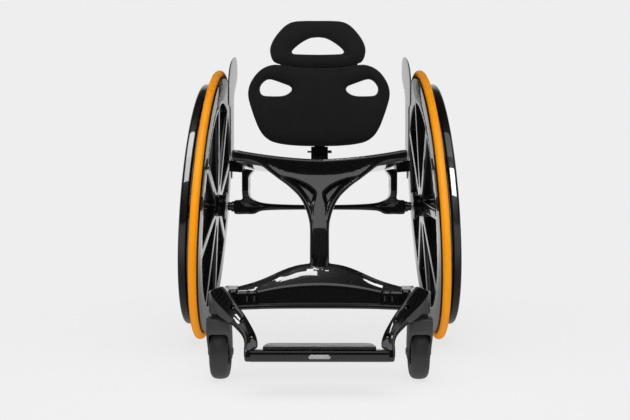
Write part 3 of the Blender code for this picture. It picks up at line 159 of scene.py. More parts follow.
# Camera: focal length and width of the photo in pixels, sensor in millimetres, place and turn in the frame
FOCAL_PIXELS = 906.0
PHOTO_WIDTH = 630.0
SENSOR_WIDTH = 36.0
CAMERA_PLACE = (0.0, AXLE_Y - 2.072, 0.365)
CAMERA_TILT = 0.035
CAMERA_PAN = 0.005


# Node trees

def rgba(colour):
    """Opaque colour from three parts, or a grey from one number."""
    return (*colour, 1.0) if isinstance(colour, tuple) else (colour, colour, colour, 1.0)


class Tree:
    """Node tree of a material or the world, with short calls; an input takes a value or a node's output."""

    def __init__(self, owner):
        owner.use_nodes = True
        self.owner = owner
        self.nodes, self.links = owner.node_tree.nodes, owner.node_tree.links

    def fill(self, node, inputs):
        for name, value in inputs.items():
            socket = node.inputs[name.replace("_", " ") if isinstance(name, str) else name]
            if isinstance(value, bpy.types.NodeSocket):
                self.links.new(value, socket)
            else:
                socket.default_value = value
        return node

    def add(self, kind, out=0, **inputs):
        return self.fill(self.nodes.new("ShaderNode" + kind), inputs).outputs[out]

    def calc(self, operation, *values):
        node = self.nodes.new("ShaderNodeMath")
        node.operation = operation
        return self.fill(node, dict(enumerate(values))).outputs[0]

    def axes(self, coords):
        return self.fill(self.nodes.new("ShaderNodeSeparateXYZ"), {0: coords}).outputs

    def noise(self, coords, scale, detail=3.0, rough=0.5):
        return self.add("TexNoise", Vector=coords, Scale=scale, Detail=detail, Roughness=rough)

    def ramp(self, value, low, high, start=0.3, end=0.7):
        node = self.fill(self.nodes.new("ShaderNodeValToRGB"), {"Fac": value})
        for element, place, colour in zip(node.color_ramp.elements, (start, end), (low, high)):
            element.position = place
            element.color = rgba(colour)
        return node.outputs["Color"]

    def step(self, value, low, high, start=0.0, end=1.0):
        node = self.nodes.new("ShaderNodeMapRange")
        node.interpolation_type = "SMOOTHSTEP"
        inputs = {"Value": value, "From Min": low, "From Max": high, "To Min": start, "To Max": end}
        return self.fill(node, inputs).outputs[0]

    def mixed(self, share, first, second):
        return self.fill(self.nodes.new("ShaderNodeMixShader"), {0: share, 1: first, 2: second}).outputs[0]

    def shade(self, **inputs):
        """Inputs of a material's main shader; returns the material."""
        self.fill(self.nodes["Principled BSDF"], inputs)
        return self.owner


def material_tree(name):
    """Tree of a new material and its object coordinates."""
    tree = Tree(bpy.data.materials.new(name))
    return tree, tree.add("TexCoord", "Object")


def carbon(name, dark, light, tow=0.0016, coat_rough=0.02):
    """Clear-coated 2 x 2 twill: the weave sits under a smooth coat."""
    tree, coords = material_tree(name)
    x, y, z = tree.axes(coords)
    warp = tree.calc("DIVIDE", tree.calc("ADD", x, y), tow)
    weft = tree.calc("DIVIDE", tree.calc("SUBTRACT", z, y), tow)
    offset = tree.calc("SUBTRACT", tree.calc("FLOOR", warp), tree.calc("FLOOR", weft))
    over = tree.calc("LESS_THAN", tree.calc("FLOORED_MODULO", offset, 4.0), 1.5)
    across, along = (tree.calc("PINGPONG", thread, 0.5) for thread in (weft, warp))
    height = tree.add("Mix", Factor=over, A=across, B=along)
    tone = tree.calc("ADD", tree.calc("MULTIPLY", over, 0.6), tree.calc("MULTIPLY", height, 0.8))
    relief = tree.add("Bump", Strength=0.35, Distance=0.0004, Height=height)
    return tree.shade(Base_Color=tree.ramp(tone, dark, light, 0.1, 1.0), Normal=relief, Roughness=0.40,
                      Specular_IOR_Level=0.12, Coat_Weight=1.0, Coat_Roughness=coat_rough, Coat_IOR=1.52)


def rubber(name, low, high, roughness, grain=900.0, strength=0.2, specular=0.5):
    tree, coords = material_tree(name)
    rough = tree.ramp(tree.noise(coords, 40.0), roughness - 0.05, roughness + 0.05)
    relief = tree.add("Bump", Strength=strength, Distance=0.0003, Height=tree.noise(coords, grain, 2.0))
    return tree.shade(Base_Color=tree.ramp(tree.noise(coords, 14.0, 4.0), low, high), Normal=relief,
                      Roughness=rough, Specular_IOR_Level=specular)


def knit(name, pitch=0.0013):
    """Black spacer knit: small staggered loops over a soft mottled ground."""
    tree, coords = material_tree(name)
    x, _, z = tree.axes(coords)
    row = tree.calc("DIVIDE", z, pitch * 1.2)
    stagger = tree.calc("MULTIPLY", tree.calc("FLOORED_MODULO", tree.calc("FLOOR", row), 2.0), 0.5)
    column = tree.calc("ADD", tree.calc("DIVIDE", x, pitch), stagger)
    loop = tree.calc("MULTIPLY", tree.calc("PINGPONG", column, 0.5), tree.calc("PINGPONG", row, 0.5))
    cloud = tree.noise(coords, 30.0, 5.0, 0.6)
    tone = tree.calc("ADD", tree.calc("MULTIPLY", loop, 2.2), tree.calc("MULTIPLY", cloud, 0.5))
    return tree.shade(Base_Color=tree.ramp(tone, 0.0095, 0.0178, 0.15, 0.9), Roughness=0.95,
                      Normal=tree.add("Bump", Strength=0.5, Distance=0.0006, Height=loop),
                      Specular_IOR_Level=0.2, Sheen_Weight=0.08, Sheen_Roughness=0.5)


def metal(name, tint, roughness, metallic=1.0):
    tree, coords = material_tree(name)
    fine = tree.noise(coords, 700.0)
    colour = tree.ramp(tree.noise(coords, 60.0), tuple(c * 0.82 for c in tint), tint)
    return tree.shade(Base_Color=colour, Roughness=tree.ramp(fine, roughness - 0.08, roughness + 0.08),
                      Normal=tree.add("Bump", Strength=0.06, Distance=0.0002, Height=fine), Metallic=metallic)


CARBON = carbon("frame_twill", 0.0010, 0.0058, coat_rough=0.03)
CARBON_PLAIN = carbon("handrim_carbon", 0.0012, 0.0030, 0.0012)
CARBON_WHEEL = carbon("wheel_carbon", 0.0014, 0.0040)
ORANGE = rubber("tyre_orange", (1.0, 0.325, 0.0), (1.0, 0.372, 0.0), 0.55, 1400.0, 0.12, 0.12)
BLACK_RUBBER = rubber("caster_rubber", 0.016, 0.024, 0.50, 800.0, 0.25)
FORK_COAT = rubber("fork_coat", 0.028, 0.036, 0.42, 1800.0, 0.15)
PLATE_COAT = rubber("foot_plate_coat", 0.010, 0.018, 0.24, 1200.0)
BLACK_METAL = metal("black_anodise", (0.012, 0.012, 0.012), 0.26, 0.7)
ALUMINIUM = metal("turned_aluminium", (0.62, 0.63, 0.65), 0.24)
RECEIVER_METAL = metal("receiver_metal", (0.16, 0.16, 0.17), 0.28)
SCREW = metal("screw_zinc", (0.42, 0.41, 0.25), 0.32)
KNIT = knit("pad_knit")


# Finished pieces and work meshes

def linked(name, data):
    obj = bpy.data.objects.new(name, data)
    bpy.context.scene.collection.objects.link(obj)
    return obj


def mesh_data(name, mesh):
    bmesh.ops.recalc_face_normals(mesh, faces=mesh.faces)
    data = bpy.data.meshes.new(name)
    mesh.to_mesh(data)
    mesh.free()
    return data


def temp(mesh):
    return linked("work", mesh_data("work", mesh))


def dress(name, data, mat, node, angle=35.0, slot=None):
    """Finished piece on a CAD node's body; it replaces the node, unless a slot is passed, which makes it an
    extra beside the node.
    """
    if isinstance(data, bmesh.types.BMesh):
        data = mesh_data(name, data)
    data.materials.clear()
    data.materials.append(mat)
    data.shade_smooth()
    data.set_sharp_from_angle(angle=radians(angle))
    obj = linked(name, data)
    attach(obj, BODY_OF[node])
    if slot is None:
        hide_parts(node)
    return obj


def evaluated(obj):
    """Mesh of an object with its modifiers applied; the object itself is removed."""
    bpy.context.view_layer.update()
    graph = bpy.context.evaluated_depsgraph_get()
    data = bpy.data.meshes.new_from_object(obj.evaluated_get(graph))
    bpy.data.objects.remove(obj, do_unlink=True)
    return data


def boolean(obj, mesh, operation="DIFFERENCE"):
    """The object with a closed bmesh cut away or joined on."""
    tool = temp(mesh)
    modifier = obj.modifiers.new("cut", "BOOLEAN")
    modifier.operation = operation
    modifier.solver = "EXACT"
    modifier.object = tool
    data = evaluated(obj)
    bpy.data.objects.remove(tool, do_unlink=True)
    return linked("work", data)


def softened(obj, passes):
    """Mesh of an object with its small ripples evened out."""
    modifier = obj.modifiers.new("soften", "SMOOTH")
    modifier.factor = 0.5
    modifier.iterations = passes
    return evaluated(obj)


def moulded(obj, voxel, passes):
    """Mesh of an object with a new skin of even faces and blended creases."""
    skin = obj.modifiers.new("skin", "REMESH")
    skin.mode = "VOXEL"
    skin.voxel_size = voxel
    return softened(obj, passes)


def bevelled(obj, width):
    bevel = obj.modifiers.new("edge", "BEVEL")
    bevel.width = width
    bevel.segments = 3
    bevel.limit_method = "ANGLE"
    bevel.angle_limit = radians(50.0)
    return evaluated(obj)


def shaped(data, rule):
    """Move all vertices with a rule on the (n, 3) arrays of positions and normals."""
    points = np.empty(len(data.vertices) * 3)
    normals = np.empty(len(data.vertices) * 3, np.float32)
    data.vertices.foreach_get("co", points)
    data.vertex_normals.foreach_get("vector", normals)
    moved = rule(points.reshape(-1, 3), normals.reshape(-1, 3).astype(float))
    data.vertices.foreach_set("co", moved.ravel())
    data.update()
    return data


def loft(sections, closed=False):
    """Skin over rings of points, capped at both ends or closed on itself."""
    mesh = bmesh.new()
    rows = [[mesh.verts.new(point) for point in section] for section in sections]
    count = len(rows[0])
    for low, high in zip(rows, rows[1:] + rows[:1] if closed else rows[1:]):
        for i in range(count):
            j = (i + 1) % count
            mesh.faces.new((low[i], low[j], high[j], high[i]))
    if not closed:
        mesh.faces.new(rows[0])
        mesh.faces.new(list(reversed(rows[-1])))
    return mesh


def prism(view, stations, x=0.0, y=0.0, z=0.0):
    """Side view of (y, z) points carried along X through the stations, from a point of reference."""
    return loft([[Vector((x + s, y + v, z + w)) for v, w in view] for s in stations])


def polar(radius, angle):
    return (radius * cos(angle), radius * sin(angle))


def turned(profile, segments, at):
    """One row of points per angle, for a profile of (radius, height)."""
    return [[at @ Vector((*polar(radius, 2 * pi * step / segments), height)) for radius, height in profile]
            for step in range(segments)]


def lathe(profile, segments, at):
    """Ring from a closed profile."""
    return loft(turned(profile, segments, at), closed=True)


def spindle(profile, segments, at):
    """Full body of revolution from an open profile."""
    return loft(list(zip(*turned(profile, segments, at))))


def cross_axis(x, y, z):
    """Frame of a point whose own Z runs along X."""
    return Matrix.Translation((x, y, z)) @ Matrix.Rotation(pi / 2, 4, "Y")


def wheel_frame(side):
    """Frame of a rear wheel: X forward, Y up, Z outward along the cambered axle."""
    rise, lean = cos(CAMBER), sin(CAMBER)
    centre = (side * HALF_TRACK, AXLE_Y, WHEEL_RADIUS * rise)
    return Matrix([*zip((0, -1, 0), (-side * lean, 0, rise), (side * rise, 0, lean), centre), (0, 0, 0, 1)])


# Outlines

def mm(*points):
    """Points given in millimetres."""
    return [tuple(part / 1000 for part in point) for point in points]


def circle(radius, segments, start=0.0):
    return [polar(radius, start + 2 * pi * i / segments) for i in range(segments)]


def arc_points(centre, radius, start, end, steps):
    angles = [radians(start + (end - start) * step / steps) for step in range(steps + 1)]
    return [(centre[0] + radius * cos(a), centre[1] + radius * sin(a)) for a in angles]


def raised(offset, *points):
    """Profile of (radius, height) in millimetres, with its heights counted from an offset in metres."""
    return [(radius, offset + height) for radius, height in mm(*points)]


def both_ends(profile):
    """A profile of (radius, height) and its mirror image beyond height 0."""
    return profile + [(radius, -height) for radius, height in reversed(profile)]


def quadratic(first, middle, last, t):
    return first * (1 - t) ** 2 + middle * 2 * t * (1 - t) + last * t * t


def rounded(corners, radii, steps=3):
    """Closed outline with a curve at each corner; radius 0 leaves a corner sharp."""
    points = []
    for i, corner in enumerate(corners):
        here = Vector(corner)
        back = Vector(corners[i - 1]) - here
        ahead = Vector(corners[(i + 1) % len(corners)]) - here
        radius = radii[i] if isinstance(radii, list) else radii
        if radius <= 0:
            points.append(tuple(here))
            continue
        reach = min(radius / math.tan(back.angle(ahead) / 2), 0.49 * back.length, 0.49 * ahead.length)
        first = here + back.normalized() * reach
        last = here + ahead.normalized() * reach
        points.extend(tuple(quadratic(first, here, last, step / steps)) for step in range(steps + 1))
    return points


def rounded_box(half_x, half_y, radius, steps):
    corners = [(-half_x, -half_y), (half_x, -half_y), (half_x, half_y), (-half_x, half_y)]
    return rounded(corners, radius, steps)


def catmull(p0, p1, p2, p3, t):
    return 0.5 * (2 * p1 + (p2 - p0) * t + (2 * p0 - 5 * p1 + 4 * p2 - p3) * t * t
                  + (3 * p1 - p0 - 3 * p2 + p3) * t ** 3)


def smooth_loop(knots, pitch):
    """Closed smooth curve through the knots, cut at about the pitch."""
    points = []
    for i in range(len(knots)):
        p0, p1, p2, p3 = (Vector(knots[(i + k) % len(knots)]) for k in (-1, 0, 1, 2))
        pieces = max(1, round((p2 - p1).length / pitch))
        points.extend(tuple(catmull(p0, p1, p2, p3, step / pieces)) for step in range(pieces))
    return points


def smooth_run(knots, pieces):
    """Open smooth curve through the knots."""
    knots = [Vector(k) for k in knots]
    ends = [knots[0] * 2 - knots[1]] + knots + [knots[-1] * 2 - knots[-2]]
    spans = [ends[i:i + 4] for i in range(len(ends) - 3)]
    points = [catmull(*span, step / pieces) for span in spans for step in range(pieces)]
    return points + [knots[-1]]


def calmed(line, passes):
    """Take small waves out of an open line; its ends stay."""
    for _ in range(passes):
        line = [line[0]] + [(a + b * 2 + c) / 4 for a, b, c in zip(line, line[1:], line[2:])] + [line[-1]]
    return line


def resample(loop, pitch):
    points = []
    for here, after in zip(loop, loop[1:] + loop[:1]):
        pieces = max(1, round(math.dist(here, after) / pitch))
        for t in (step / pieces for step in range(pieces)):
            points.append((here[0] * (1 - t) + after[0] * t, here[1] * (1 - t) + after[1] * t))
    return points


def mirrored(half):
    return list(half) + [(-x, z) for x, z in reversed(half) if x > 1e-6]


def shifted(loop, offset):
    return [(x + offset, z) for x, z in loop]


def loop_distance(points, loops):
    points = np.asarray(points, float)
    best = np.full(len(points), 1e9)
    for loop in loops:
        start = np.asarray(loop, float)
        edge = np.roll(start, -1, axis=0) - start
        length = np.maximum((edge ** 2).sum(1), 1e-18)
        for a, ab, l2 in zip(start, edge, length):
            t = np.clip(((points - a) @ ab) / l2, 0, 1)
            best = np.minimum(best, np.hypot(*(points - a - t[:, None] * ab).T))
    return best


def inside_all(points, loop):
    points = np.asarray(points, float)
    x, y = points[:, 0], points[:, 1]
    hit = np.zeros(len(points), bool)
    for (x1, y1), (x2, y2) in zip(loop, loop[1:] + loop[:1]):
        if y1 != y2:
            hit ^= ((y1 > y) != (y2 > y)) & (x < (x2 - x1) * (y - y1) / (y2 - y1) + x1)
    return hit


def in_body(points, loops):
    good = inside_all(points, loops[0])
    for hole in loops[1:]:
        good &= ~inside_all(points, hole)
    return good


def edge_round(distance, radius):
    """Drop of a surface near its edge, as a quarter circle."""
    t = max(0.0, 1.0 - distance / radius)
    return radius * (1.0 - math.sqrt(max(0.0, 1.0 - t * t)))


def blend(a, b, t):
    return a + (b - a) * min(1.0, max(0.0, t))


def ease(t):
    t = np.clip(t, 0.0, 1.0)
    return t * t * (3 - 2 * t)


# Plates: a fine solid between two surfaces over one outline

ROW_RISE = 0.866


def front_view(u, v, w):
    return Vector((u, w, v))


def plan_view(u, v, w):
    return Vector((u, v, w))


def inset_ring(loop, distance):
    """Points beside a loop; a negative distance lies on its other side."""
    ring = []
    for i, point in enumerate(loop):
        tangent = Vector(loop[(i + 1) % len(loop)]) - Vector(loop[i - 1])
        if tangent.length >= 1e-9:
            ring.append(tuple(Vector(point) + Vector((-tangent.y, tangent.x)).normalized() * distance))
    return ring


def thinned(points, smallest):
    """Leave out points that lie too close to an earlier one."""
    search = KDTree(len(points))
    for index, point in enumerate(points):
        search.insert((*point, 0), index)
    search.balance()
    kept, dropped = [], set()
    for index, point in enumerate(points):
        if index not in dropped:
            kept.append(point)
            dropped.update(other for _, other, _ in search.find_range((*point, 0), smallest) if other > index)
    return kept


def triangulated(loops, inner):
    """Points and triangles of a flat outline with holes."""
    verts, edges = [], []
    for loop in loops:
        base, count = len(verts), len(loop)
        verts.extend(Vector(point) for point in loop)
        edges.extend((base + i, base + (i + 1) % count) for i in range(count))
    verts.extend(Vector(point) for point in inner)
    flat, _, faces, _, _, _ = delaunay_2d_cdt(verts, edges, [], 0, 1e-7)
    middles = [tuple(sum((flat[i] for i in face), Vector((0, 0))) / len(face)) for face in faces]
    tris = [face for face, good in zip(faces, in_body(middles, loops)) if good]
    used = sorted({i for face in tris for i in face})
    place_of = {old: new for new, old in enumerate(used)}
    return [tuple(flat[i]) for i in used], [[place_of[i] for i in face] for face in tris]


def plate(outline, holes, spacing, insets, front, back, to_world, extra=()):
    """Closed solid between a front and a back surface, each a rule on (u, v, distance from the edge)."""
    loops = [list(outline)] + [list(hole) for hole in holes]
    inner = list(extra)

    def take(points, clearance):
        good = in_body(points, loops) & (loop_distance(points, loops) > clearance)
        inner.extend(point for point, fine in zip(points, good) if fine)

    for distance in insets:
        for loop in loops:
            for sign in (1, -1):
                take(inset_ring(loop, distance * sign), 0.9 * distance)
    us, vs = zip(*outline)
    columns = int((max(us) - min(us)) / spacing) + 2
    grid = []
    for row in range(int((max(vs) - min(vs)) / (spacing * ROW_RISE)) + 1):
        for column in range(-columns // 2, columns // 2 + 1):
            grid.append(((max(us) + min(us)) / 2 + (column + 0.5 * (row % 2)) * spacing,
                         min(vs) + row * spacing * ROW_RISE))
    take(grid, max(insets) + 0.6 * spacing)
    smallest = 0.35 * min([spacing] + [b - a for a, b in zip((0, *insets), insets)])
    flat, tris = triangulated(loops, thinned(inner, smallest))
    depth = loop_distance(flat, loops)
    mesh = bmesh.new()
    top, low = ([mesh.verts.new(to_world(u, v, surface(u, v, d))) for (u, v), d in zip(flat, depth)]
                for surface in (front, back))
    seen = set()
    for face in tris:
        mesh.faces.new([top[i] for i in face])
        mesh.faces.new([low[i] for i in reversed(face)])
        seen.update(zip(face, face[1:] + face[:1]))
    for a, b in seen:
        if (b, a) not in seen:
            mesh.faces.new((top[b], top[a], low[a], low[b]))
    return mesh


def sheet(outline, holes, spacing, insets, surface, thick, radius, to_world):
    """Plate of even thickness below a surface, with round edges."""
    def upper(u, v, distance):
        return surface(u, v) - edge_round(distance, radius)

    def lower(u, v, distance):
        return surface(u, v) - thick + edge_round(distance, radius)

    return plate(outline, holes, spacing, insets, upper, lower, to_world)


# Rear wheels

def wheel_window(index):
    """Opening between two spokes, with round corners."""
    first = 2 * pi * index / SPOKES
    second = first + 2 * pi / SPOKES

    def beside(angle, sign, radius):
        return polar(radius, angle + sign * math.asin(SPOKE_HALF_WIDTH / radius))

    arc = [polar(WINDOW_OUTER, first + (second - first) * part / 8) for part in range(1, 8)]
    corners = [beside(first, 1, WINDOW_INNER), beside(first, 1, WINDOW_OUTER), *arc,
               beside(second, -1, WINDOW_OUTER), beside(second, -1, WINDOW_INNER)]
    return resample(rounded(corners, [0.008, 0.02] + [0] * 7 + [0.02, 0.008], 5), 0.007)


def wheel_half_thickness(radius):
    places = (WINDOW_INNER, WINDOW_OUTER, RIM_BULGE_RADIUS, RIM_OUTER)
    return float(np.interp(radius, places, (HUB_DISC_HALF, WINDOW_EDGE_HALF, RIM_BULGE_HALF, RIM_EDGE_HALF)))


def wheel_disc():
    """Carbon wheel with spoke 0 forward: crowned spokes, deep windows and a rim bed."""
    holes = [circle(0.0177, 40)] + [wheel_window(i) for i in range(SPOKES)]
    extra = circle(RIM_BULGE_RADIUS, 128, 0.02) + circle(0.252, 112) + circle(0.273, 128)

    def half(u, v, distance):
        radius = math.hypot(u, v)
        if radius > RIM_OUTER - 0.012 or radius < 0.024:
            return wheel_half_thickness(radius)
        return wheel_half_thickness(radius) - edge_round(distance, 0.0024)

    mesh = plate(circle(RIM_OUTER, 128), holes, 0.009, (0.0004, 0.0012, 0.0026), half,
                 lambda *spot: -half(*spot), plan_view, extra)
    return mesh_data("carbon_wheel", mesh)


HUB_SHELL = mm(
    (14.3, -32.5), (28.5, -32.5), (30, -32.1), (31, -31), (31, -29), (30.4, -28.1), (27, -27.2),
    (25.3, -26.2), (24.7, -24), (24.7, -18), (25.3, -16), (26.2, -15.2), (17.4, -15.2), (17.4, 17.2),
    (16.8, 18.4), (15.5, 19), (14.3, 19), (14.3, 10.7), (9.2, 10.7), (9.2, -24.2), (14.3, -24.2))
HUB_DOWEL = mm((1.9, 1), (1.9, -0.3), (1.2, -0.5))
HUB_DOWELS = 12
DOWEL_CIRCLE = 0.0228


def handrim_tab(spot):
    """Block between the rim and the handrim, wider at its foot."""
    sections = []
    for t in (0.0, 0.15, 0.4, 0.7, 1.0):
        height = RIM_BULGE_HALF - 0.0006 + t * (HANDRIM_OFFSET - RIM_BULGE_HALF - 0.002)
        grow = 0.006 + 0.004 * (1 - t) ** 2
        section = rounded_box(grow, grow, grow * 0.9, 5)
        sections.append([spot @ Vector((x, y * 1.7, height)) for x, y in section])
    return loft(sections)


def make_rear_wheels():
    disc = wheel_disc()

    def squared(value):
        """Fuller than a circle: the handrim's section has flat faces and round corners."""
        return math.copysign(HANDRIM_TUBE * abs(value) ** HANDRIM_SQUARENESS, value)

    tyre = shifted(circle(TYRE_SECTION, 28), WHEEL_RADIUS - TYRE_SECTION)
    middle = HANDRIM_OUTER - HANDRIM_TUBE
    handrim = [(middle + squared(x), HANDRIM_OFFSET + squared(y)) for x, y in circle(1.0, 40)]
    for name, side in SIDES:
        at = wheel_frame(side)
        wheel = f"carbon_wheel_{name}"
        dress(f"tyre_orange_{name}", lathe(tyre, 144, at), ORANGE, f"rear_tyre_{name}")
        spun = at @ Matrix.Rotation(SPOKE_PHASE[name], 4, "Z")
        own = disc.copy()
        own.transform(spun)
        dress(f"spoked_wheel_{name}", own, CARBON_WHEEL, wheel, 50.0)
        dress(f"handrim_tube_{name}", lathe(handrim, 144, at), CARBON_PLAIN, f"handrim_{name}")
        for index in range(SPOKES):
            turn = Matrix.Rotation(2 * pi * (index + 0.5) / SPOKES, 4, "Z")
            tab = handrim_tab(spun @ turn @ Matrix.Translation((RIM_BULGE_RADIUS, 0, 0)))
            dress(f"handrim_tab_{name}_{index + 1}", tab, CARBON_PLAIN, wheel, slot="gloss_carbon")
        dress(f"hub_shell_{name}", lathe(HUB_SHELL, 64, at), BLACK_METAL, f"hub_{name}")
        for index, (x, y) in enumerate(circle(DOWEL_CIRCLE, HUB_DOWELS)):
            dot = spindle(HUB_DOWEL, 10, at @ Matrix.Translation((x, y, HUB_INNER_FACE)))
            dress(f"hub_dowel_{name}_{index + 1}", dot, ALUMINIUM, f"hub_{name}", slot="aluminium")


# Seat beam, column and crossbar

FLARE = mm(
    (140, 396), (122, 392.5), (108.8, 386.9), (98.3, 378.8), (78.3, 363.6), (60.7, 350.9), (43.2, 334.9),
    (36, 326), (30.5, 316.9), (25.8, 306), (22.4, 295.6), (19.3, 283), (18.1, 270))

# Crescent hollow beside the ridge, right side, as (x, z): ridge edge downward, then back up the outer edge
HOLLOW_DEPTH = 0.0115
HOLLOW_SLOPE = 0.0085
HOLLOW = mm(
    (78.5, 369), (66, 368), (54.7, 366), (43, 362.5), (31.7, 358), (20.5, 352), (12.2, 345.5), (6.8, 339.5),
    (5.2, 333.5), (6.2, 327), (9.2, 317), (10.8, 306), (11.6, 292), (13, 288), (18, 306), (26.2, 323),
    (41.5, 342), (59, 356), (70, 363.5))

# Upright grooves near the lower bar's ends: distance from the middle and width
GROOVES = mm((115, 2.2), (128.5, 1.8))

# Where the beam's upright face ends and the column's lean begins
BORDER = mm((0, 373.8), (49, 377), (72, 383), (95, 393.5), (135, 398))


def beam_top(x):
    return blend(BEAM_TOP_MID, BEAM_TOP_END, (abs(x) / BEAM_HALF_WIDTH) ** 1.7)


def column_front(x, z):
    """Front of the moulding: upright on the beam, leaning below the border, a little fuller at the bend."""
    fall = max(0.0, float(np.interp(abs(x), *zip(*BORDER))) - z)
    soft = BEND_SOFTNESS * math.log1p(math.exp(min(60.0, (COLUMN_BEND_Z - z) / BEND_SOFTNESS)))
    foot = float(ease((FOOT_RIDGE_Z - z) / 0.034)) * 0.026 * (x / COLUMN_HALF_WIDTH) ** 2
    return BEAM_FRONT_Y - COLUMN_LEAN * fall - BOW_UPPER * (fall - soft) + BOW_LOWER * soft + foot


def crossbar_section(x):
    """Section of the lower bar: upright front and back, and a roof that rises to a ridge near the back."""
    share = abs(x) / CROSSBAR_HALF_WIDTH
    front, back = CROSSBAR_FRONT_Y, CROSSBAR_BACK_Y
    crest = 0.1665 + 0.0425 * math.exp(-(abs(x) / 0.0995) ** 2.75)
    top = crest + 0.0028 * share ** 2 * (1 - share ** 8)
    corner = min(CROSSBAR_CORNER_Z - 0.001 - 0.0245 * min(share, 0.78) ** 2, top - 0.003)
    ridge_y = back - 0.012 - 0.025 * share ** 2
    bottom = CROSSBAR_BOTTOM_Z - 0.003 * share ** 3
    low, high = Vector((front + 0.005, corner + 0.0028)), Vector((ridge_y, top - 0.0006))
    bulge = min(0.0042, 0.2 * (high.y - low.y))
    knots = [(front + 0.004, bottom), (front, bottom + 0.004), (front, corner - 0.003),
             (front + 0.003, corner + 0.0008)]
    for t in (0.0, 0.17, 0.34, 0.5, 0.66, 0.83, 1.0):
        point = low.lerp(high, t)
        knots.append((point.x, point.y + 4 * bulge * t * (1 - t)))
    knots += [(back - 0.006, top - 0.002 - 0.006 * share ** 2), (back, top - 0.01 - 0.004 * share ** 2),
              (back, bottom + 0.005), (back - 0.004, bottom)]
    return [Vector((x, y, z)) for y, z in knots]


def front_relief(points, normals):
    """Crescent hollows beside the ridge and the lower bar's grooves, on the front only."""
    hollow = smooth_loop(HOLLOW, 0.003)
    x, y, z = points.T.copy()
    facing = np.clip(-normals[:, 1] * 1.6, 0, 1)
    plane = np.column_stack([np.abs(x), z])
    box = (plane[:, 0] < 0.085) & (z > 0.285) & (z < 0.372)
    depth = np.zeros(len(x))
    near = plane[box]
    t = np.clip(loop_distance(near, [hollow]) / HOLLOW_SLOPE, 0, 1)
    depth[box] = np.where(inside_all(near, hollow), HOLLOW_DEPTH * (0.5 * ease(t) + 0.5 * t * (2 - t)), 0.0)
    y = y + depth * facing
    bar_zone = (y < CROSSBAR_FRONT_Y + 0.004) & (z < 0.172)
    low = CROSSBAR_BOTTOM_Z - 0.003 * (np.abs(x) / CROSSBAR_HALF_WIDTH) ** 3
    groove = 0.0018 * np.exp(-((z - low - 0.0062) / 0.0014) ** 2)
    lane = sum(np.exp(-((np.abs(x) - middle) / width) ** 2) for middle, width in GROOVES)
    lane = 0.003 * lane * ease((z - low - 0.01) / 0.004) * ease((0.166 - z) / 0.006)
    y = y + np.where(bar_zone, groove + lane, 0.0) * facing
    return np.column_stack([x, y, z])


def make_front_frame():
    wide, top, low = BEAM_HALF_WIDTH, BEAM_TOP_END, BEAM_BOTTOM_END
    half = [(wide * t, beam_top(wide * t)) for t in (0.0, 0.1, 0.2, 0.3, 0.4, 0.5, 0.6, 0.7, 0.8, 0.88, 0.95)]
    half += [(wide - 0.001, top - 0.003), (wide, top - 0.009), (wide, low + 0.008),
             (wide - 0.002, low + 0.002), (wide - 0.009, low - 0.0005)]
    half += FLARE + [(COLUMN_HALF_WIDTH, z) for z in (0.25, 0.23, 0.2, COLUMN_BOTTOM_Z)]

    def front(x, z, distance):
        return column_front(x, z) + edge_round(distance, 0.0075)

    def back(x, z, distance):
        fall = COLUMN_TOP_Z - z
        deep = BEAM_BACK_Y
        if fall > 0:
            deep = BEAM_FRONT_Y - COLUMN_LEAN * fall + blend(0.039, COLUMN_DEPTH, fall / 0.1)
        return min(deep, BEAM_BACK_Y) - edge_round(distance, 0.006)

    outline = smooth_loop(mirrored(half), 0.0045)
    body = temp(plate(outline, [], 0.006, (0.0006, 0.0018, 0.0038, 0.0075), front, back, front_view))
    bar = loft([crossbar_section(CROSSBAR_HALF_WIDTH * (-1 + 2 * i / 60)) for i in range(61)])
    data = shaped(moulded(boolean(body, bar, "UNION"), 0.0014, 16), front_relief)
    dress("front_moulding", softened(linked("work", data), 3), CARBON, "front_frame", 180.0)


# Legs, casters and footrest

# Sections down the right leg: x, distance ahead of the axle and z of five corners each, in millimetres
LEG_SECTIONS = [mm(*zip(row[0::3], row[1::3], row[2::3])) for row in (
    (192.3, 487, 167, 171.4, 487, 175.7, 165, 442, 168, 197.5, 450, 160, 195.5, 469, 163.5),
    (190.9, 490, 154.8, 159.8, 490, 164.7, 152, 442, 148, 196.5, 462, 126.5, 194.5, 477, 140),
    (164.5, 497, 133.4, 146.4, 497, 149.6, 150.5, 460, 135, 174.6, 490, 120.4, 170, 494, 127),
    (148.3, 512, 121, 134, 512, 136.5, 137, 479, 125, 154.6, 500, 108.9, 152, 507, 115),
    (146, 514.5, 119.3, 131.9, 514.5, 134.1, 135, 482, 123.5, 152.5, 490, 106, 150.9, 511, 116.4),
    (135.1, 527, 111.6, 122.6, 527, 123.4, 124, 500, 113, 144, 502, 99.3, 138.5, 525, 108.9),
    (128.9, 541, 107, 115.2, 541, 113.4, 115, 518, 103, 138, 517, 97.4, 131.8, 539.5, 104.5),
    (123.4, 553, 100.6, 108.5, 553, 104.8, 108.5, 530, 96, 132.8, 530, 94, 126.2, 551.5, 99),
    (120.7, 564, 92.5, 104, 564, 94.2, 104.5, 544, 89, 128.3, 543, 88.2, 123.6, 562.5, 91.8),
    (120, 572, 84.9, 103.1, 572, 84.5, 104, 553, 84, 128, 552, 82, 123, 571, 84.4),
    (120, 575, 81.2, 103.6, 574, 81.2, 104.2, 555, 81.2, 128, 555, 79.5, 123, 574, 81),
    (120, 576.5, 79.6, 113, 576, 79.8, 113, 557, 79.8, 127.9, 556, 77, 123, 575.5, 79.3),
    (120.5, 579, 72.5, 113, 579, 72.5, 113, 557.5, 72, 128, 556, 71.5, 123.6, 578, 72.5),
    (121.5, 580, 65, 113, 580, 65, 113, 558, 65, 127.6, 557, 65, 125, 578, 65),
    (121.5, 577.5, 60, 113.5, 577.5, 60, 113.5, 560, 60, 125.8, 559, 61, 124.5, 576, 60.5),
)]
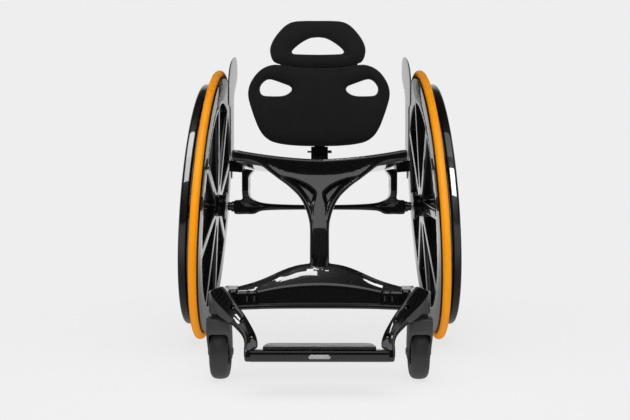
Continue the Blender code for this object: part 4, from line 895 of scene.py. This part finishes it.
LEG_SCREWS = ((2, 0.24, 0.55), (4, 0.66, 0.5), (7, 0.36, 0.5))
LEG_SCREW = mm((2.35, -3.4), (2.35, -1.2), (2.1, -0.7), (1.3, -0.5), (1.2, -1.6), (0.2, -1.8))
SCREW_POCKET = mm((5.2, -3.5), (5.2, 20))
LEG_CORNER = 0.14
LEG_CROWN = 0.0014


def leg_corner(side, corner):
    return Vector((side * corner[0], AXLE_Y - corner[1], corner[2]))


def toward_front(normal):
    return -normal if normal.y > 0 else normal


def screw_frame(side, spot):
    index, along, across = spot
    a0, a1 = (leg_corner(side, LEG_SECTIONS[index][k]) for k in (0, 1))
    b0, b1 = (leg_corner(side, LEG_SECTIONS[index + 1][k]) for k in (0, 1))
    outer, inner = a0.lerp(b0, along), a1.lerp(b1, along)
    normal = toward_front((inner - outer).cross(b0 - a0).normalized())
    return Matrix.Translation(outer.lerp(inner, across)) @ normal.to_track_quat("Z", "Y").to_matrix().to_4x4()


def leg_ring(side, section):
    """One section of the leg: round corners and a slightly crowned front face."""
    corners = [leg_corner(side, corner) for corner in section]
    ring = []
    for i, here in enumerate(corners):
        after = corners[(i + 1) % len(corners)]
        first, last = here.lerp(corners[i - 1], LEG_CORNER), here.lerp(after, LEG_CORNER)
        ring.extend(quadratic(first, here, last, t) for t in (0.0, 0.33, 0.67, 1.0))
        if i == 0:
            start, end = ring[-1], after.lerp(here, LEG_CORNER)
            rise = (end - start).cross(Vector((0, -0.75, -0.66)) * side).normalized() * LEG_CROWN
            rise = toward_front(rise)
            ring.extend(start.lerp(end, t) + rise * 4 * t * (1 - t) for t in (0.25, 0.5, 0.75))
    return ring


def stem_frame(side):
    return Matrix.Translation((side * CASTER_X, STEM_Y, 0))


def make_leg(name, side):
    lines = zip(*[leg_ring(side, section) for section in LEG_SECTIONS])
    leg = temp(loft(list(zip(*[calmed(smooth_run(line, 4), 10) for line in lines]))))
    head = [(HEAD_RADIUS - 0.002, HEAD_BOTTOM_Z), (HEAD_RADIUS, HEAD_BOTTOM_Z + 0.002),
            (HEAD_RADIUS, HEAD_TOP_Z - 0.003), (HEAD_RADIUS - 0.004, HEAD_TOP_Z)]
    leg = boolean(leg, spindle(head, 48, stem_frame(side)), "UNION")
    front, back = CROSSBAR_FRONT_Y, CROSSBAR_BACK_Y
    stub = [(front + 0.005, 0.1285), (front + 0.001, 0.133), (front + 0.001, 0.16), (front + 0.005, 0.165),
            (back - 0.006, 0.166), (back - 0.001, 0.16), (back - 0.001, 0.133), (back - 0.005, 0.1285)]
    leg = boolean(leg, prism(stub, (side * (CROSSBAR_HALF_WIDTH + GAP), side * (CASTER_X - 0.006))), "UNION")
    leg = linked("work", moulded(leg, 0.0009, 12))
    for spot in LEG_SCREWS:
        leg = boolean(leg, spindle(SCREW_POCKET, 28, screw_frame(side, spot)))
    dress(f"leg_moulding_{name}", evaluated(leg), CARBON, f"leg_{name}", 45.0)
    for number, spot in enumerate(LEG_SCREWS, 1):
        screw = spindle(LEG_SCREW, 24, screw_frame(side, spot))
        dress(f"leg_cap_screw_{name}_{number}", screw, SCREW, f"leg_screw_{name}_{number}")


def caster_axis(side):
    return cross_axis(side * CASTER_X, STEM_Y + CASTER_TRAIL, CASTER_RADIUS)


def fork_body(side):
    """Block with an arched well for the wheel, open at the front of the arch."""
    view = [(-0.016, 0.102), (-0.016, 0.093), (-0.011, 0.08), (0.006, 0.06), (0.017, 0.046)]
    view += arc_points((CASTER_TRAIL, CASTER_RADIUS), 0.0135, 205, 345, 9)
    view += [(0.0445, 0.065), (0.037, 0.09), (0.03, 0.106), (0.022, FORK_TOP_Z), (-0.012, FORK_TOP_Z),
             (-0.016, FORK_TOP_Z - 0.004)]
    radii = [0.004, 0.01, 0.02, 0.02, 0.006] + [0.004] * 10 + [0.02, 0.02, 0.01, 0.004, 0.004, 0.004]
    x = side * CASTER_X
    block = temp(prism(rounded(view, radii), (-FORK_HALF_WIDTH, FORK_HALF_WIDTH), x, STEM_Y))
    throat = FORK_HALF_WIDTH - FORK_ARM
    wheel_y = STEM_Y + CASTER_TRAIL
    well = arc_points((0, CASTER_RADIUS), FORK_WELL_RADIUS, 0, 180, 32)
    well += [(-FORK_WELL_RADIUS, -0.01), (FORK_WELL_RADIUS, -0.01)]
    block = boolean(block, prism(well, (-throat, throat), x, wheel_y))
    arch = rounded([(-throat, -0.01), (throat, -0.01), (throat, FORK_ARCH_Z), (-throat, FORK_ARCH_Z)],
                   [0, 0, 0.008, 0.008], 8)
    block = boolean(block, loft([[Vector((x + u, y, z)) for u, z in arch] for y in (STEM_Y - 0.05, wheel_y)]))
    block.modifiers.new("weld", "WELD").merge_threshold = 0.0003
    return bevelled(block, 0.0012)


def make_caster(name, side):
    axle, stem = caster_axis(side), stem_frame(side)
    fork = f"caster_fork_{name}"
    tread = raised(-CASTER_HALF_WIDTH, (30.3, 2.2), (34.5, 0.4), (38.5, 0), (42.5, 0.8), (46, 2.8),
                   (48.3, 6.2), (49.5, 10.5), (49.95, 15))
    dress(f"caster_tread_{name}", lathe(both_ends(tread), 96, axle), BLACK_RUBBER, f"caster_tyre_{name}")
    hub = raised(-CASTER_HALF_WIDTH, (4.3, 1), (10, 1), (11.2, 1.8), (12, 4.2), (15, 6), (23.5, 6),
                 (25.8, 4.5), (26.8, 2.4), (28, 2), (30, 2))
    dress(f"caster_rim_{name}", lathe(both_ends(hub), 64, axle), BLACK_METAL, f"caster_hub_{name}")
    dress(f"fork_body_{name}", fork_body(side), FORK_COAT, fork, 30.0)
    washer = raised(FORK_TOP_Z, (4.9, -0.4), (14.6, -0.4), (15, 0.4), (15, 2), (13.8, 2.6), (13.8, 3.4),
                    (14.6, 3.8), (14.6, 5), (13.6, 5.6))
    washer += raised(HEAD_BOTTOM_Z, (13.6, -0.3), (8.5, -0.3), (8.5, 1.1), (4.9, 1.1))
    dress(f"stem_washer_{name}", lathe(washer, 40, stem), BLACK_METAL, fork, slot="black_anodised")
    shaft = raised(FORK_TOP_Z, (5, -3)) + raised(HEAD_TOP_Z, (5, -8.5), (4.5, -8))
    dress(f"stem_shaft_{name}", spindle(shaft, 24, stem), ALUMINIUM, fork, slot="aluminium")


def make_footrest():
    tall, deep = FOOT_TUBE_HALF_HEIGHT, FOOT_TUBE_HALF_DEPTH
    stations = np.linspace(-FOOT_TUBE_HALF - 0.003, FOOT_TUBE_HALF + 0.003, 9)
    tube = prism(rounded_box(deep, tall, 0.0065, 8), stations, 0.0, FOOT_TUBE_Y, FOOT_TUBE_Z)
    dress("foot_tube_skin", tube, CARBON, "foot_tube")
    back, front, wide = AXLE_Y - 0.498, FOOT_TUBE_Y - 0.004, 0.095
    bend_y = FOOT_TUBE_Y + 0.0125
    corners = [(-wide, front), (wide, front), (wide, bend_y), (wide - 0.004, back), (-wide + 0.004, back),
               (-wide, bend_y)]
    outline = resample(rounded(corners, [0.006, 0.006, 0.02, 0.018, 0.018, 0.02], 8), 0.005)

    def upper(_, v):
        drop = 0.0057 * max(0.0, (v - bend_y) / (back - bend_y))
        return FOOT_TUBE_Z + tall + GAP - drop + FOOT_PLATE_THICK

    mesh = sheet(outline, [], 0.01, (0.0004, 0.0013), upper, FOOT_PLATE_THICK, 0.0012, plan_view)
    dress("foot_plate_sheet", mesh, PLATE_COAT, "foot_plate", 40.0)
    face_y = FOOT_TUBE_Y - deep - GAP
    outer, inner = rounded_box(0.018, 0.0034, 0.003, 6), rounded_box(0.0155, 0.002, 0.0018, 6)
    rim = [(x * 0.985, z * 0.94) for x, z in outer]
    rows = ((outer, 0.0), (outer, 0.0008), (rim, 0.001), (inner, 0.001), (inner, 0.0005))
    slab = loft([[Vector((x, face_y - proud, FOOT_TUBE_Z + z)) for x, z in loop] for loop, proud in rows])
    dress("foot_tube_insert_slab", slab, ALUMINIUM, "foot_tube_insert")


# Seat pan, rear frame and guards

def seat_top(x, y):
    t = (y - SEAT_FRONT_Y) / (SEAT_REAR_Y - SEAT_FRONT_Y)
    return SEAT_MID_FRONT_Z + (SEAT_MID_REAR_Z - SEAT_MID_FRONT_Z) * t + SEAT_SAG * (x / SEAT_HALF_WIDTH) ** 2


def make_seat_pan():
    corners = [(-SEAT_HALF_WIDTH, SEAT_FRONT_Y), (SEAT_HALF_WIDTH, SEAT_FRONT_Y),
               (SEAT_HALF_WIDTH, SEAT_REAR_Y), (-SEAT_HALF_WIDTH, SEAT_REAR_Y)]
    outline = resample(rounded(corners, [0, 0, 0.03, 0.03], 8), 0.008)
    mesh = sheet(outline, [], 0.012, (0.0006, 0.0018), seat_top, SEAT_THICK, 0.0018, plan_view)
    dress("seat_shell", mesh, CARBON, "seat_pan", 60.0)


RECEIVER_BORE = mm((10.1, -50.2), (10.1, -65), (7.4, -65), (7.4, -83))
BORE_MOUTH = mm((12.6, -20), (12.6, -50.3))


def make_rear_frame():
    """Posts, axle bar and housings in one skin, bored for the receivers."""
    inner, outer, end = POST_INNER_X, POST_OUTER_X, HOUSING_END_X
    mid, high, low = AXLE_BAR_MID_Z, HOUSING_TOP_Z, HOUSING_BOTTOM_Z
    half = [(0.0, mid + 0.0055), (0.06, mid + 0.006), (0.105, mid + 0.0078), (0.13, mid + 0.0105),
            (0.1435, mid + 0.0145), (0.1535, mid + 0.0195), (inner - 0.0012, mid + 0.025),
            (inner, mid + 0.031), (inner, 0.352), (inner, 0.364), (inner - 0.0015, 0.37),
            (inner - 0.005, 0.3755)]
    half += [(x, seat_top(x, SEAT_REAR_Y) - SEAT_THICK - 0.0008) for x in (0.1485, 0.156, SEAT_HALF_WIDTH)]
    half += [(outer - 0.001, POST_TOP_Z), (outer, POST_TOP_Z - 0.004), (outer, 0.35), (outer, high + 0.008),
             (outer + 0.0015, high + 0.002), (outer + 0.006, high), (end - 0.004, high - 0.0005),
             (end, high - 0.005), (end, low + 0.005), (end - 0.005, low), (0.17, low), (0.148, low + 0.0004),
             (0.133, mid - 0.0085), (0.1, mid - 0.0062), (0.05, mid - 0.0056), (0.0, mid - 0.0055)]
    outline = smooth_loop(mirrored(half), 0.004)

    def middle(z):
        return AXLE_Y + ((POST_REAR_Y + POST_FRONT_Y) / 2 - AXLE_Y) * float(ease((z - 0.31) / 0.026))

    def reach(x, z):
        """Half depth: shallow bar and housings, deep posts."""
        bar = blend(0.017, 0.019, (z - mid) / 0.015)
        post = bar + ((POST_REAR_Y - POST_FRONT_Y) / 2 - bar) * float(ease((z - 0.31) / 0.026))
        return blend(post, 0.019, (abs(x) - outer) / 0.002)

    def front(x, z, distance):
        return middle(z) - reach(x, z) + edge_round(distance, 0.004)

    def back(x, z, distance):
        return middle(z) + reach(x, z) - edge_round(distance, 0.004)

    body = temp(plate(outline, [], 0.006, (0.0005, 0.0015, 0.0038), front, back, front_view))
    body = linked("work", moulded(body, 0.0014, 5))
    for _, side in SIDES:
        for bore in (RECEIVER_BORE, BORE_MOUTH):
            body = boolean(body, spindle(bore, 48, wheel_frame(side)))
    dress("rear_moulding", evaluated(body), CARBON, "rear_frame", 45.0)


RELEASE_PIN = mm(
    (5.35, -80), (6, -79.7), (6.35, -79), (6.35, 19.5), (9.8, 19.5), (10.5, 20), (10.5, 22.6), (10.3, 23.2),
    (9.5, 23.5), (5.8, 23.5), (5.5, 23.2), (5.5, 20.2), (3.3, 20.2), (3.3, 3.6))
RELEASE_BUTTON = mm(
    (3, 6.9), (3, 23.5), (4.8, 23.5), (5.2, 23.9), (5.2, 26.8), (5, 27.6), (4.2, 28), (3, 27.7), (1.2, 27.6))
RECEIVER = mm(
    (6.65, -36.2), (8.8, -36.2), (9.6, -36.5), (9.8, -37.2), (9.8, -44), (10.5, -44.4), (11.2, -44.7),
    (11.2, -45.2), (11.8, -45.5), (12, -46), (12, -49.6), (11.7, -50), (9.8, -50), (9.8, -64), (6.65, -64))
BEARING = (
    (6.65, 0.3), (8.5, 0), (8.7, 0.9), (11.8, 0.9), (12, 0), (13.9, 0.2), (14, 0.6), (14, 7.4), (13.8, 7.8),
    (12, 8), (11.8, 7.1), (8.7, 7.1), (8.5, 8), (6.65, 7.7))


def make_axle_parts(name, side):
    """Quick-release pin, its button, the receiver in the frame, the hub bearings and the caster's axle."""
    at = wheel_frame(side)
    dress(f"release_pin_{name}", spindle(RELEASE_PIN, 40, at), ALUMINIUM, f"axle_pin_{name}")
    dress(f"release_press_{name}", spindle(RELEASE_BUTTON, 40, at), BLACK_METAL, f"release_button_{name}")
    dress(f"receiver_sleeve_{name}", lathe(RECEIVER, 48, at), RECEIVER_METAL, f"axle_receiver_{name}")
    for end, low in (("inner", HUB_INNER_FACE), ("outer", 0.011)):
        ring = lathe(raised(low, *BEARING), 48, at)
        dress(f"bearing_ring_{end}_{name}", ring, ALUMINIUM, f"hub_bearing_{end}_{name}")
    bolt = raised(-FORK_HALF_WIDTH, (2, -1.2), (2.6, -2.2), (5.8, -2.2), (6.6, -1.8), (7, -1), (7, -0.3),
                  (4, -0.3))
    bolt = spindle(both_ends(bolt), 40, caster_axis(side))
    dress(f"caster_bolt_{name}", bolt, RECEIVER_METAL, f"caster_axle_{name}")


GUARD_OUTLINE = mm(
    (6, 409), (-4, 412), (-6, 418), (-6, 512), (-8, 522), (-16, 526.8), (-37, 529), (-42.5, 537),
    (-43, 552), (-40, 576), (-18, 608), (25, 633), (78, 649), (128, 657), (158, 653), (170, 637),
    (166, 611), (130, 588), (90, 564), (77, 535), (74, 470), (73, 418), (70, 411), (62, 409), (51, 408.5),
    (49, 406), (49, 372), (47, 369.2), (34, 364), (21, 369.2), (19, 372), (19, 406), (17, 408.5))


def make_guard(name, side):
    def side_view(u, v, w):
        return Vector((side * w, AXLE_Y + u, v))

    def outer_face(_, __):
        return GUARD_X + GUARD_THICK / 2

    outline = smooth_loop(GUARD_OUTLINE, 0.005)
    mesh = sheet(outline, [], 0.014, (0.0004, 0.0013), outer_face, GUARD_THICK, 0.0012, side_view)
    dress(f"guard_panel_{name}", mesh, CARBON, f"side_guard_{name}", 40.0)
    near, far, half_slot = POST_OUTER_X + GAP, GUARD_X + 0.0045, GUARD_THICK / 2 + GAP
    foot = ((near, -0.02, 0.0), (far, 0.012, 0.0028), (far, 0.056, 0.0028), (near, 0.048, 0.0))
    top = ((near, 0.0, 0.0), (far, 0.012, 0.0), (far, 0.056, 0.0), (near, 0.068, 0.0))
    block = temp(loft([[Vector((side * x, AXLE_Y + y, level + z)) for x, y, z in row]
                       for level, row in ((BRACKET_BOTTOM_Z, foot), (BRACKET_TOP_Z, top))]))
    slot = ((GUARD_X - half_slot, 0.0187), (GUARD_X + half_slot, 0.0187), (GUARD_X + half_slot, 0.0493),
            (GUARD_X - half_slot, 0.0493))
    block = boolean(block, loft([[Vector((side * x, AXLE_Y + y, z)) for x, y in slot] for z in (0.35, 0.43)]))
    dress(f"bracket_block_{name}", bevelled(block, 0.0014), BLACK_METAL, f"guard_bracket_{name}", 30.0)


# Backrest

BACK_PAD_HALF = mm(
    (0, 616.5), (50, 618.5), (95, 624), (115, 621), (130, 613.5), (143, 601.5), (155, 583), (160.8, 564),
    (160, 545), (153, 520), (145.5, 498.5), (137.8, 480), (126.2, 462.1), (108, 449), (81.5, 442.5),
    (45, 439.2), (0, 438.5))
BACK_PAD_HOLE = mm(
    (112, 590.5), (122.5, 587), (131.5, 577), (134.5, 566), (129, 554.5), (111, 552.2), (84, 553),
    (69, 559), (61.5, 568), (66, 575), (80, 580.5), (96, 586.2))
UPPER_PAD_HALF = mm(
    (0, 724), (30, 723.9), (56, 721.5), (73.5, 713), (88, 698.5), (100.5, 681.5), (108, 664), (108.5, 650),
    (103.5, 634.5), (92, 626.2), (55, 620.3), (0, 618.2))
UPPER_PAD_HOLE_HALF = mm(
    (0, 686.6), (15.5, 685), (28.5, 679.5), (42.5, 670.7), (54.5, 660.7), (59.8, 653), (57, 648.8),
    (0, 647.3))


HINGE_PIN = mm((1.6, -28.3), (2.2, -27.7), (2.2, 19.8), (3.2, 19.8), (3.6, 20.2), (3.6, 26.9), (3.2, 27.7),
               (2.4, 28.3))


def back_surface(x, _=0.0):
    return SHELL_BACK_Y - BACK_WRAP * x * x


def make_pad(name, node, outline, holes):
    def rear(x, _, __):
        return back_surface(x) - SHELL_THICK - PAD_BACKING

    def face(x, z, distance):
        rise = math.sqrt(max(0.0, 1.0 - (1.0 - min(1.0, distance / PAD_ROUND)) ** 2))
        return rear(x, z, distance) - PAD_EDGE * PAD_STEP - (PAD_CROWN - PAD_EDGE * PAD_STEP) * rise

    mesh = plate(outline, holes, 0.006, (0.0008, 0.0025, 0.005, 0.0085), face, rear, front_view)
    piece = dress(name, moulded(temp(mesh), 0.0024, 6), KNIT, node, 180.0)


def make_back_hardware():
    """Fixed socket with two ears, the hinge pin between them and the post that turns on it."""
    pivot = pin_y, pin_z = BACK_PIVOT_Y, BACK_PIVOT_Z
    axis = cross_axis(0, *pivot)
    seat_z = seat_top(0, SEAT_REAR_Y) + 0.001
    base_front = SEAT_REAR_Y - 0.06
    front_z = seat_top(0, base_front) + 0.001
    view = [(base_front, front_z), (base_front, front_z + 0.006), (pin_y - 0.016, seat_z + 0.014),
            (pin_y - 0.012, pin_z - 0.004), *arc_points(pivot, 0.012, 160, 20, 16),
            (pin_y + 0.012, seat_z - 0.02), (SEAT_REAR_Y + 0.002, seat_z - 0.02),
            (SEAT_REAR_Y + 0.002, seat_z)]
    socket = temp(prism(view, (-POST_HALF_WIDTH, POST_HALF_WIDTH)))
    gap_half = TONGUE_HALF_WIDTH + 0.00008
    notch = [(-0.05, -0.0096), (0.05, -0.0096), (0.05, 0.03), (-0.05, 0.03)]
    socket = boolean(socket, prism(notch, (-gap_half, gap_half), 0.0, *pivot))
    socket = boolean(socket, spindle([(0.01015, -gap_half), (0.01015, gap_half)], 64, axis))
    hole = [(0.0025, -0.05), (0.0025, 0.05)]
    socket = boolean(socket, spindle(hole, 32, axis))
    dress("back_socket_block", bevelled(socket, 0.0007), BLACK_METAL, "backrest_socket", 30.0)

    dress("hinge_pin", spindle(HINGE_PIN, 32, axis), ALUMINIUM, "backrest_pin")

    front = SHELL_BACK_Y + 0.0022
    centre = front + POST_DEPTH / 2
    tongue = arc_points(pivot, TONGUE_RADIUS, 180, 360, 24)
    tongue += [(pin_y + TONGUE_RADIUS, pin_z + 0.03), (pin_y - TONGUE_RADIUS, pin_z + 0.03)]
    post = temp(prism(tongue, (-TONGUE_HALF_WIDTH, TONGUE_HALF_WIDTH)))
    section = rounded_box(POST_HALF_WIDTH, POST_DEPTH / 2, 0.007, 8)
    levels = ((pin_z + 0.0135, 0.94), (pin_z + 0.015, 1.0), (0.5, 1.0), (0.6, 1.0),
              (BACK_POST_TOP_Z - 0.0015, 1.0), (BACK_POST_TOP_Z, 0.93))
    bar = loft([[Vector((x * share, centre + y * share, z)) for x, y in section] for z, share in levels])
    post = boolean(post, bar, "UNION")
    groove = [(0.0012, pin_z + 0.02), (0.0012, BACK_POST_TOP_Z - 0.01)]
    for x in (-0.0075, 0.0, 0.0075):
        post = boolean(post, spindle(groove, 20, Matrix.Translation((x, front - 0.0004, 0))))
    post = boolean(post, spindle(hole, 32, axis))
    dress("back_post_bar", evaluated(post), CARBON, "backrest_post")


def grown(loop):
    """The shell's opening, 3 mm wider than the pad's."""
    middle = sum((Vector(point) for point in loop), Vector((0, 0))) / len(loop)
    points = []
    for i, point in enumerate(loop):
        along = (Vector(loop[(i + 1) % len(loop)]) - Vector(loop[i - 1])).normalized()
        out = Vector((along.y, -along.x))
        if out.dot(Vector(point) - middle) < 0:
            out = -out
        points.append(tuple(Vector(point) + out * 0.003))
    return points


def make_backrest():
    back = smooth_loop(shifted(mirrored(BACK_PAD_HALF), BACK_PAD_SHIFT), 0.005)
    hand_holes = [BACK_PAD_HOLE, [(-x, z) for x, z in BACK_PAD_HOLE]]
    holes = [smooth_loop(shifted(hole, BACK_PAD_SHIFT), 0.004) for hole in hand_holes]
    upper = smooth_loop(shifted(mirrored(UPPER_PAD_HALF), UPPER_PAD_SHIFT), 0.005)
    upper_hole = smooth_loop(shifted(mirrored(UPPER_PAD_HOLE_HALF), UPPER_PAD_SHIFT), 0.004)
    make_pad("back_cushion", "backrest_pad", back, holes)
    make_pad("upper_cushion", "upper_pad", upper, [upper_hole])
    shell = [(0.0, 0.718)] + [(x - 0.006, z - 0.004) for x, z in UPPER_PAD_HALF[2:8]]
    shell += [(0.089, 0.628), (0.093, 0.615)] + [(x - 0.007, z) for x, z in BACK_PAD_HALF[4:13]]
    shell += [(0.102, 0.456), (0.06, 0.45), (0.0, 0.449)]
    outline = smooth_loop(shifted(mirrored(shell), BACK_PAD_SHIFT), 0.005)
    openings = [grown(hole) for hole in holes + [upper_hole]]
    mesh = sheet(outline, openings, 0.01, (0.0005, 0.0016), back_surface, SHELL_THICK, 0.0015, front_view)
    dress("back_shell_sheet", mesh, CARBON, "backrest_shell", 50.0)
    make_back_hardware()


# Studio

def make_world():
    """Pale backdrop to the camera; glossy rays see it behind and beside the chair, a dark room in front."""
    world = bpy.data.worlds.new("studio")
    bpy.context.scene.world = world
    tree = Tree(world)
    tree.nodes.clear()
    out = tree.nodes.new("ShaderNodeOutputWorld")
    _, y, z = tree.axes(tree.add("TexCoord", "Generated"))
    level = tree.calc("MULTIPLY", tree.step(y, -0.10, 0.30, 0.010, 0.86), tree.step(z, 0.50, 0.72, 1.0, 0.04))
    around, plain = tree.add("Background", Strength=level), tree.add("Background", Color=rgba(BACKDROP))
    tree.fill(out, {"Surface": tree.mixed(tree.add("LightPath", "Is Camera Ray"), around, plain)})


def make_floor():
    """Round white floor that melts into the backdrop; its far front is dark in reflections."""
    tree, coords = material_tree("studio_floor")
    tree.nodes.remove(tree.nodes["Principled BSDF"])
    glossy = tree.add("LightPath", "Is Glossy Ray")
    y = tree.axes(coords)[1]
    far = tree.nodes.new("ShaderNodeVectorMath")
    far.operation = "LENGTH"
    tree.fill(far, {0: coords})
    near = tree.calc("ADD", tree.step(y, -1.25, -0.85, 0.02, 0.82), tree.step(y, -0.40, -0.15, 0.0, -0.57))
    near = tree.calc("ADD", near, tree.step(y, 0.50, 2.60, 0.0, 0.57))
    glow = tree.add("Emission", Strength=tree.add("Mix", Factor=glossy, A=BACKDROP, B=near))
    share = tree.calc("MAXIMUM", tree.step(far.outputs["Value"], 0.45, 1.2, 0.87, 1.0), glossy)
    surface = tree.mixed(share, tree.add("BsdfDiffuse", Color=rgba(0.80)), glow)
    tree.fill(tree.nodes["Material Output"], {"Surface": surface})
    floor = bmesh.new()
    bmesh.ops.create_circle(floor, cap_ends=True, segments=96, radius=FLOOR_RADIUS)
    data = bpy.data.meshes.new("floor")
    floor.to_mesh(data)
    floor.free()
    data.materials.append(tree.owner)
    obj = linked("floor", data)
    obj.location = (0, 0, FLOOR_Z)


def softbox(name, where, target, width, height, power):
    light = bpy.data.lights.new(name, "AREA")
    light.shape = "RECTANGLE"
    light.size, light.size_y = width, height
    light.energy = power
    lamp = linked(name, light)
    lamp.location = where
    lamp.rotation_euler = (Vector(target) - Vector(where)).to_track_quat("-Z", "Y").to_euler()
    return lamp


# Small bright panels that draw the crossbar's streaks: name, x, y, width, depth, turn in degrees
CROSSBAR_STREAKS = (
    ("streak_main", -0.255, -0.065, 0.47, 0.33, 0.0), ("streak_left", -0.570, 0.15, 0.13, 0.44, 22.0),
    ("streak_peak", -0.10, 0.22, 0.09, 0.26, 0.0), ("streak_right", 0.715, 0.42, 0.08, 0.44, 0.0),
    ("dot_right", 0.07, 0.16, 0.045, 0.14, 0.0))

# Lamps that only some pieces reflect: name, place, target, width, height and power, then the pieces
PIECE_LAMPS = (
    (("rim_box_left", (-0.35, -1.62, 1.99), (-0.26, -0.11, 0.41), 1.6, 2.1, 122),
     "handrim_tube_left", "tyre_orange_left"),
    (("rim_box_right", (0.45, -2.17, 1.17), (0.26, -0.12, 0.37), 1.4, 1.05, 140),
     "handrim_tube_right", "tyre_orange_right"),
    (("leg_box_left", (-1.95, -0.57, 0.93), (-0.145, -0.37, 0.13), 0.6, 0.45, 14), "leg_moulding_left"),
    (("leg_box_right", (0.98, -0.05, 1.66), (0.12, -0.406, 0.11), 0.35, 0.35, 6), "leg_moulding_right"))


def flagged(lamp, *pieces, diffuse=False):
    """Flags around a lamp: only the named pieces see it, either as a reflection or as plain light."""
    seen = bpy.data.collections.new(lamp.name + "_view")
    for piece in pieces:
        seen.objects.link(bpy.data.objects[piece])
    lamp.light_linking.receiver_collection = seen
    lamp.visible_diffuse = diffuse
    lamp.visible_glossy = not diffuse


def make_studio():
    make_world()
    make_floor()
    softbox("top_box", (-0.10, -1.10, 1.90), (-0.10, -1.10, 0), 2.7, 1.00, 15.5)
    softbox("front_fill", (0.0, -2.9, 1.5), (0, 0, 0.3), 2.0, 2.0, 55).visible_glossy = False
    flagged(softbox("floor_box", (0.0, -0.3, 3.0), (0, -0.3, 0), 3.0, 3.0, 78), "floor", diffuse=True)
    for name, x, y, width, depth, turn in CROSSBAR_STREAKS:
        lamp = softbox(name, (x, y, 1.9), (x, y, 0), width, depth, STREAK_RADIANCE * pi * width * depth)
        lamp.rotation_euler = (0, 0, radians(turn))
        flagged(lamp, "front_moulding")
    for box, *pieces in PIECE_LAMPS:
        flagged(softbox(*box), *pieces)


def make_camera():
    camera = bpy.data.cameras.new("camera")
    camera.sensor_width = SENSOR_WIDTH
    camera.lens = SENSOR_WIDTH * FOCAL_PIXELS / PHOTO_WIDTH
    obj = linked("camera", camera)
    obj.location = CAMERA_PLACE
    obj.rotation_euler = (pi / 2 - CAMERA_TILT, 0.0, CAMERA_PAN)
    bpy.context.scene.camera = obj


def finish_nodes():
    """Give every carried-over CAD node its detailed finish."""
    looks = {"gloss_carbon": CARBON, "orange_rubber": ORANGE, "black_rubber": BLACK_RUBBER,
             "black_anodised": BLACK_METAL, "aluminium": ALUMINIUM, "screw_steel": SCREW, "black_knit": KNIT,
             "graphite_alloy": PLATE_COAT}
    for name, obj in frame["nodes"].items():
        obj.data.materials.clear()
        obj.data.materials.append(looks[SLOT_OF[name]])


finish_nodes()
make_rear_wheels()
make_front_frame()
make_rear_frame()
for side_name, side_sign in SIDES:
    make_leg(side_name, side_sign)
    make_caster(side_name, side_sign)
    make_axle_parts(side_name, side_sign)
    make_guard(side_name, side_sign)
make_footrest()
make_seat_pan()
make_backrest()
make_studio()
make_camera()
bpy.context.scene.view_settings.view_transform = "Standard"
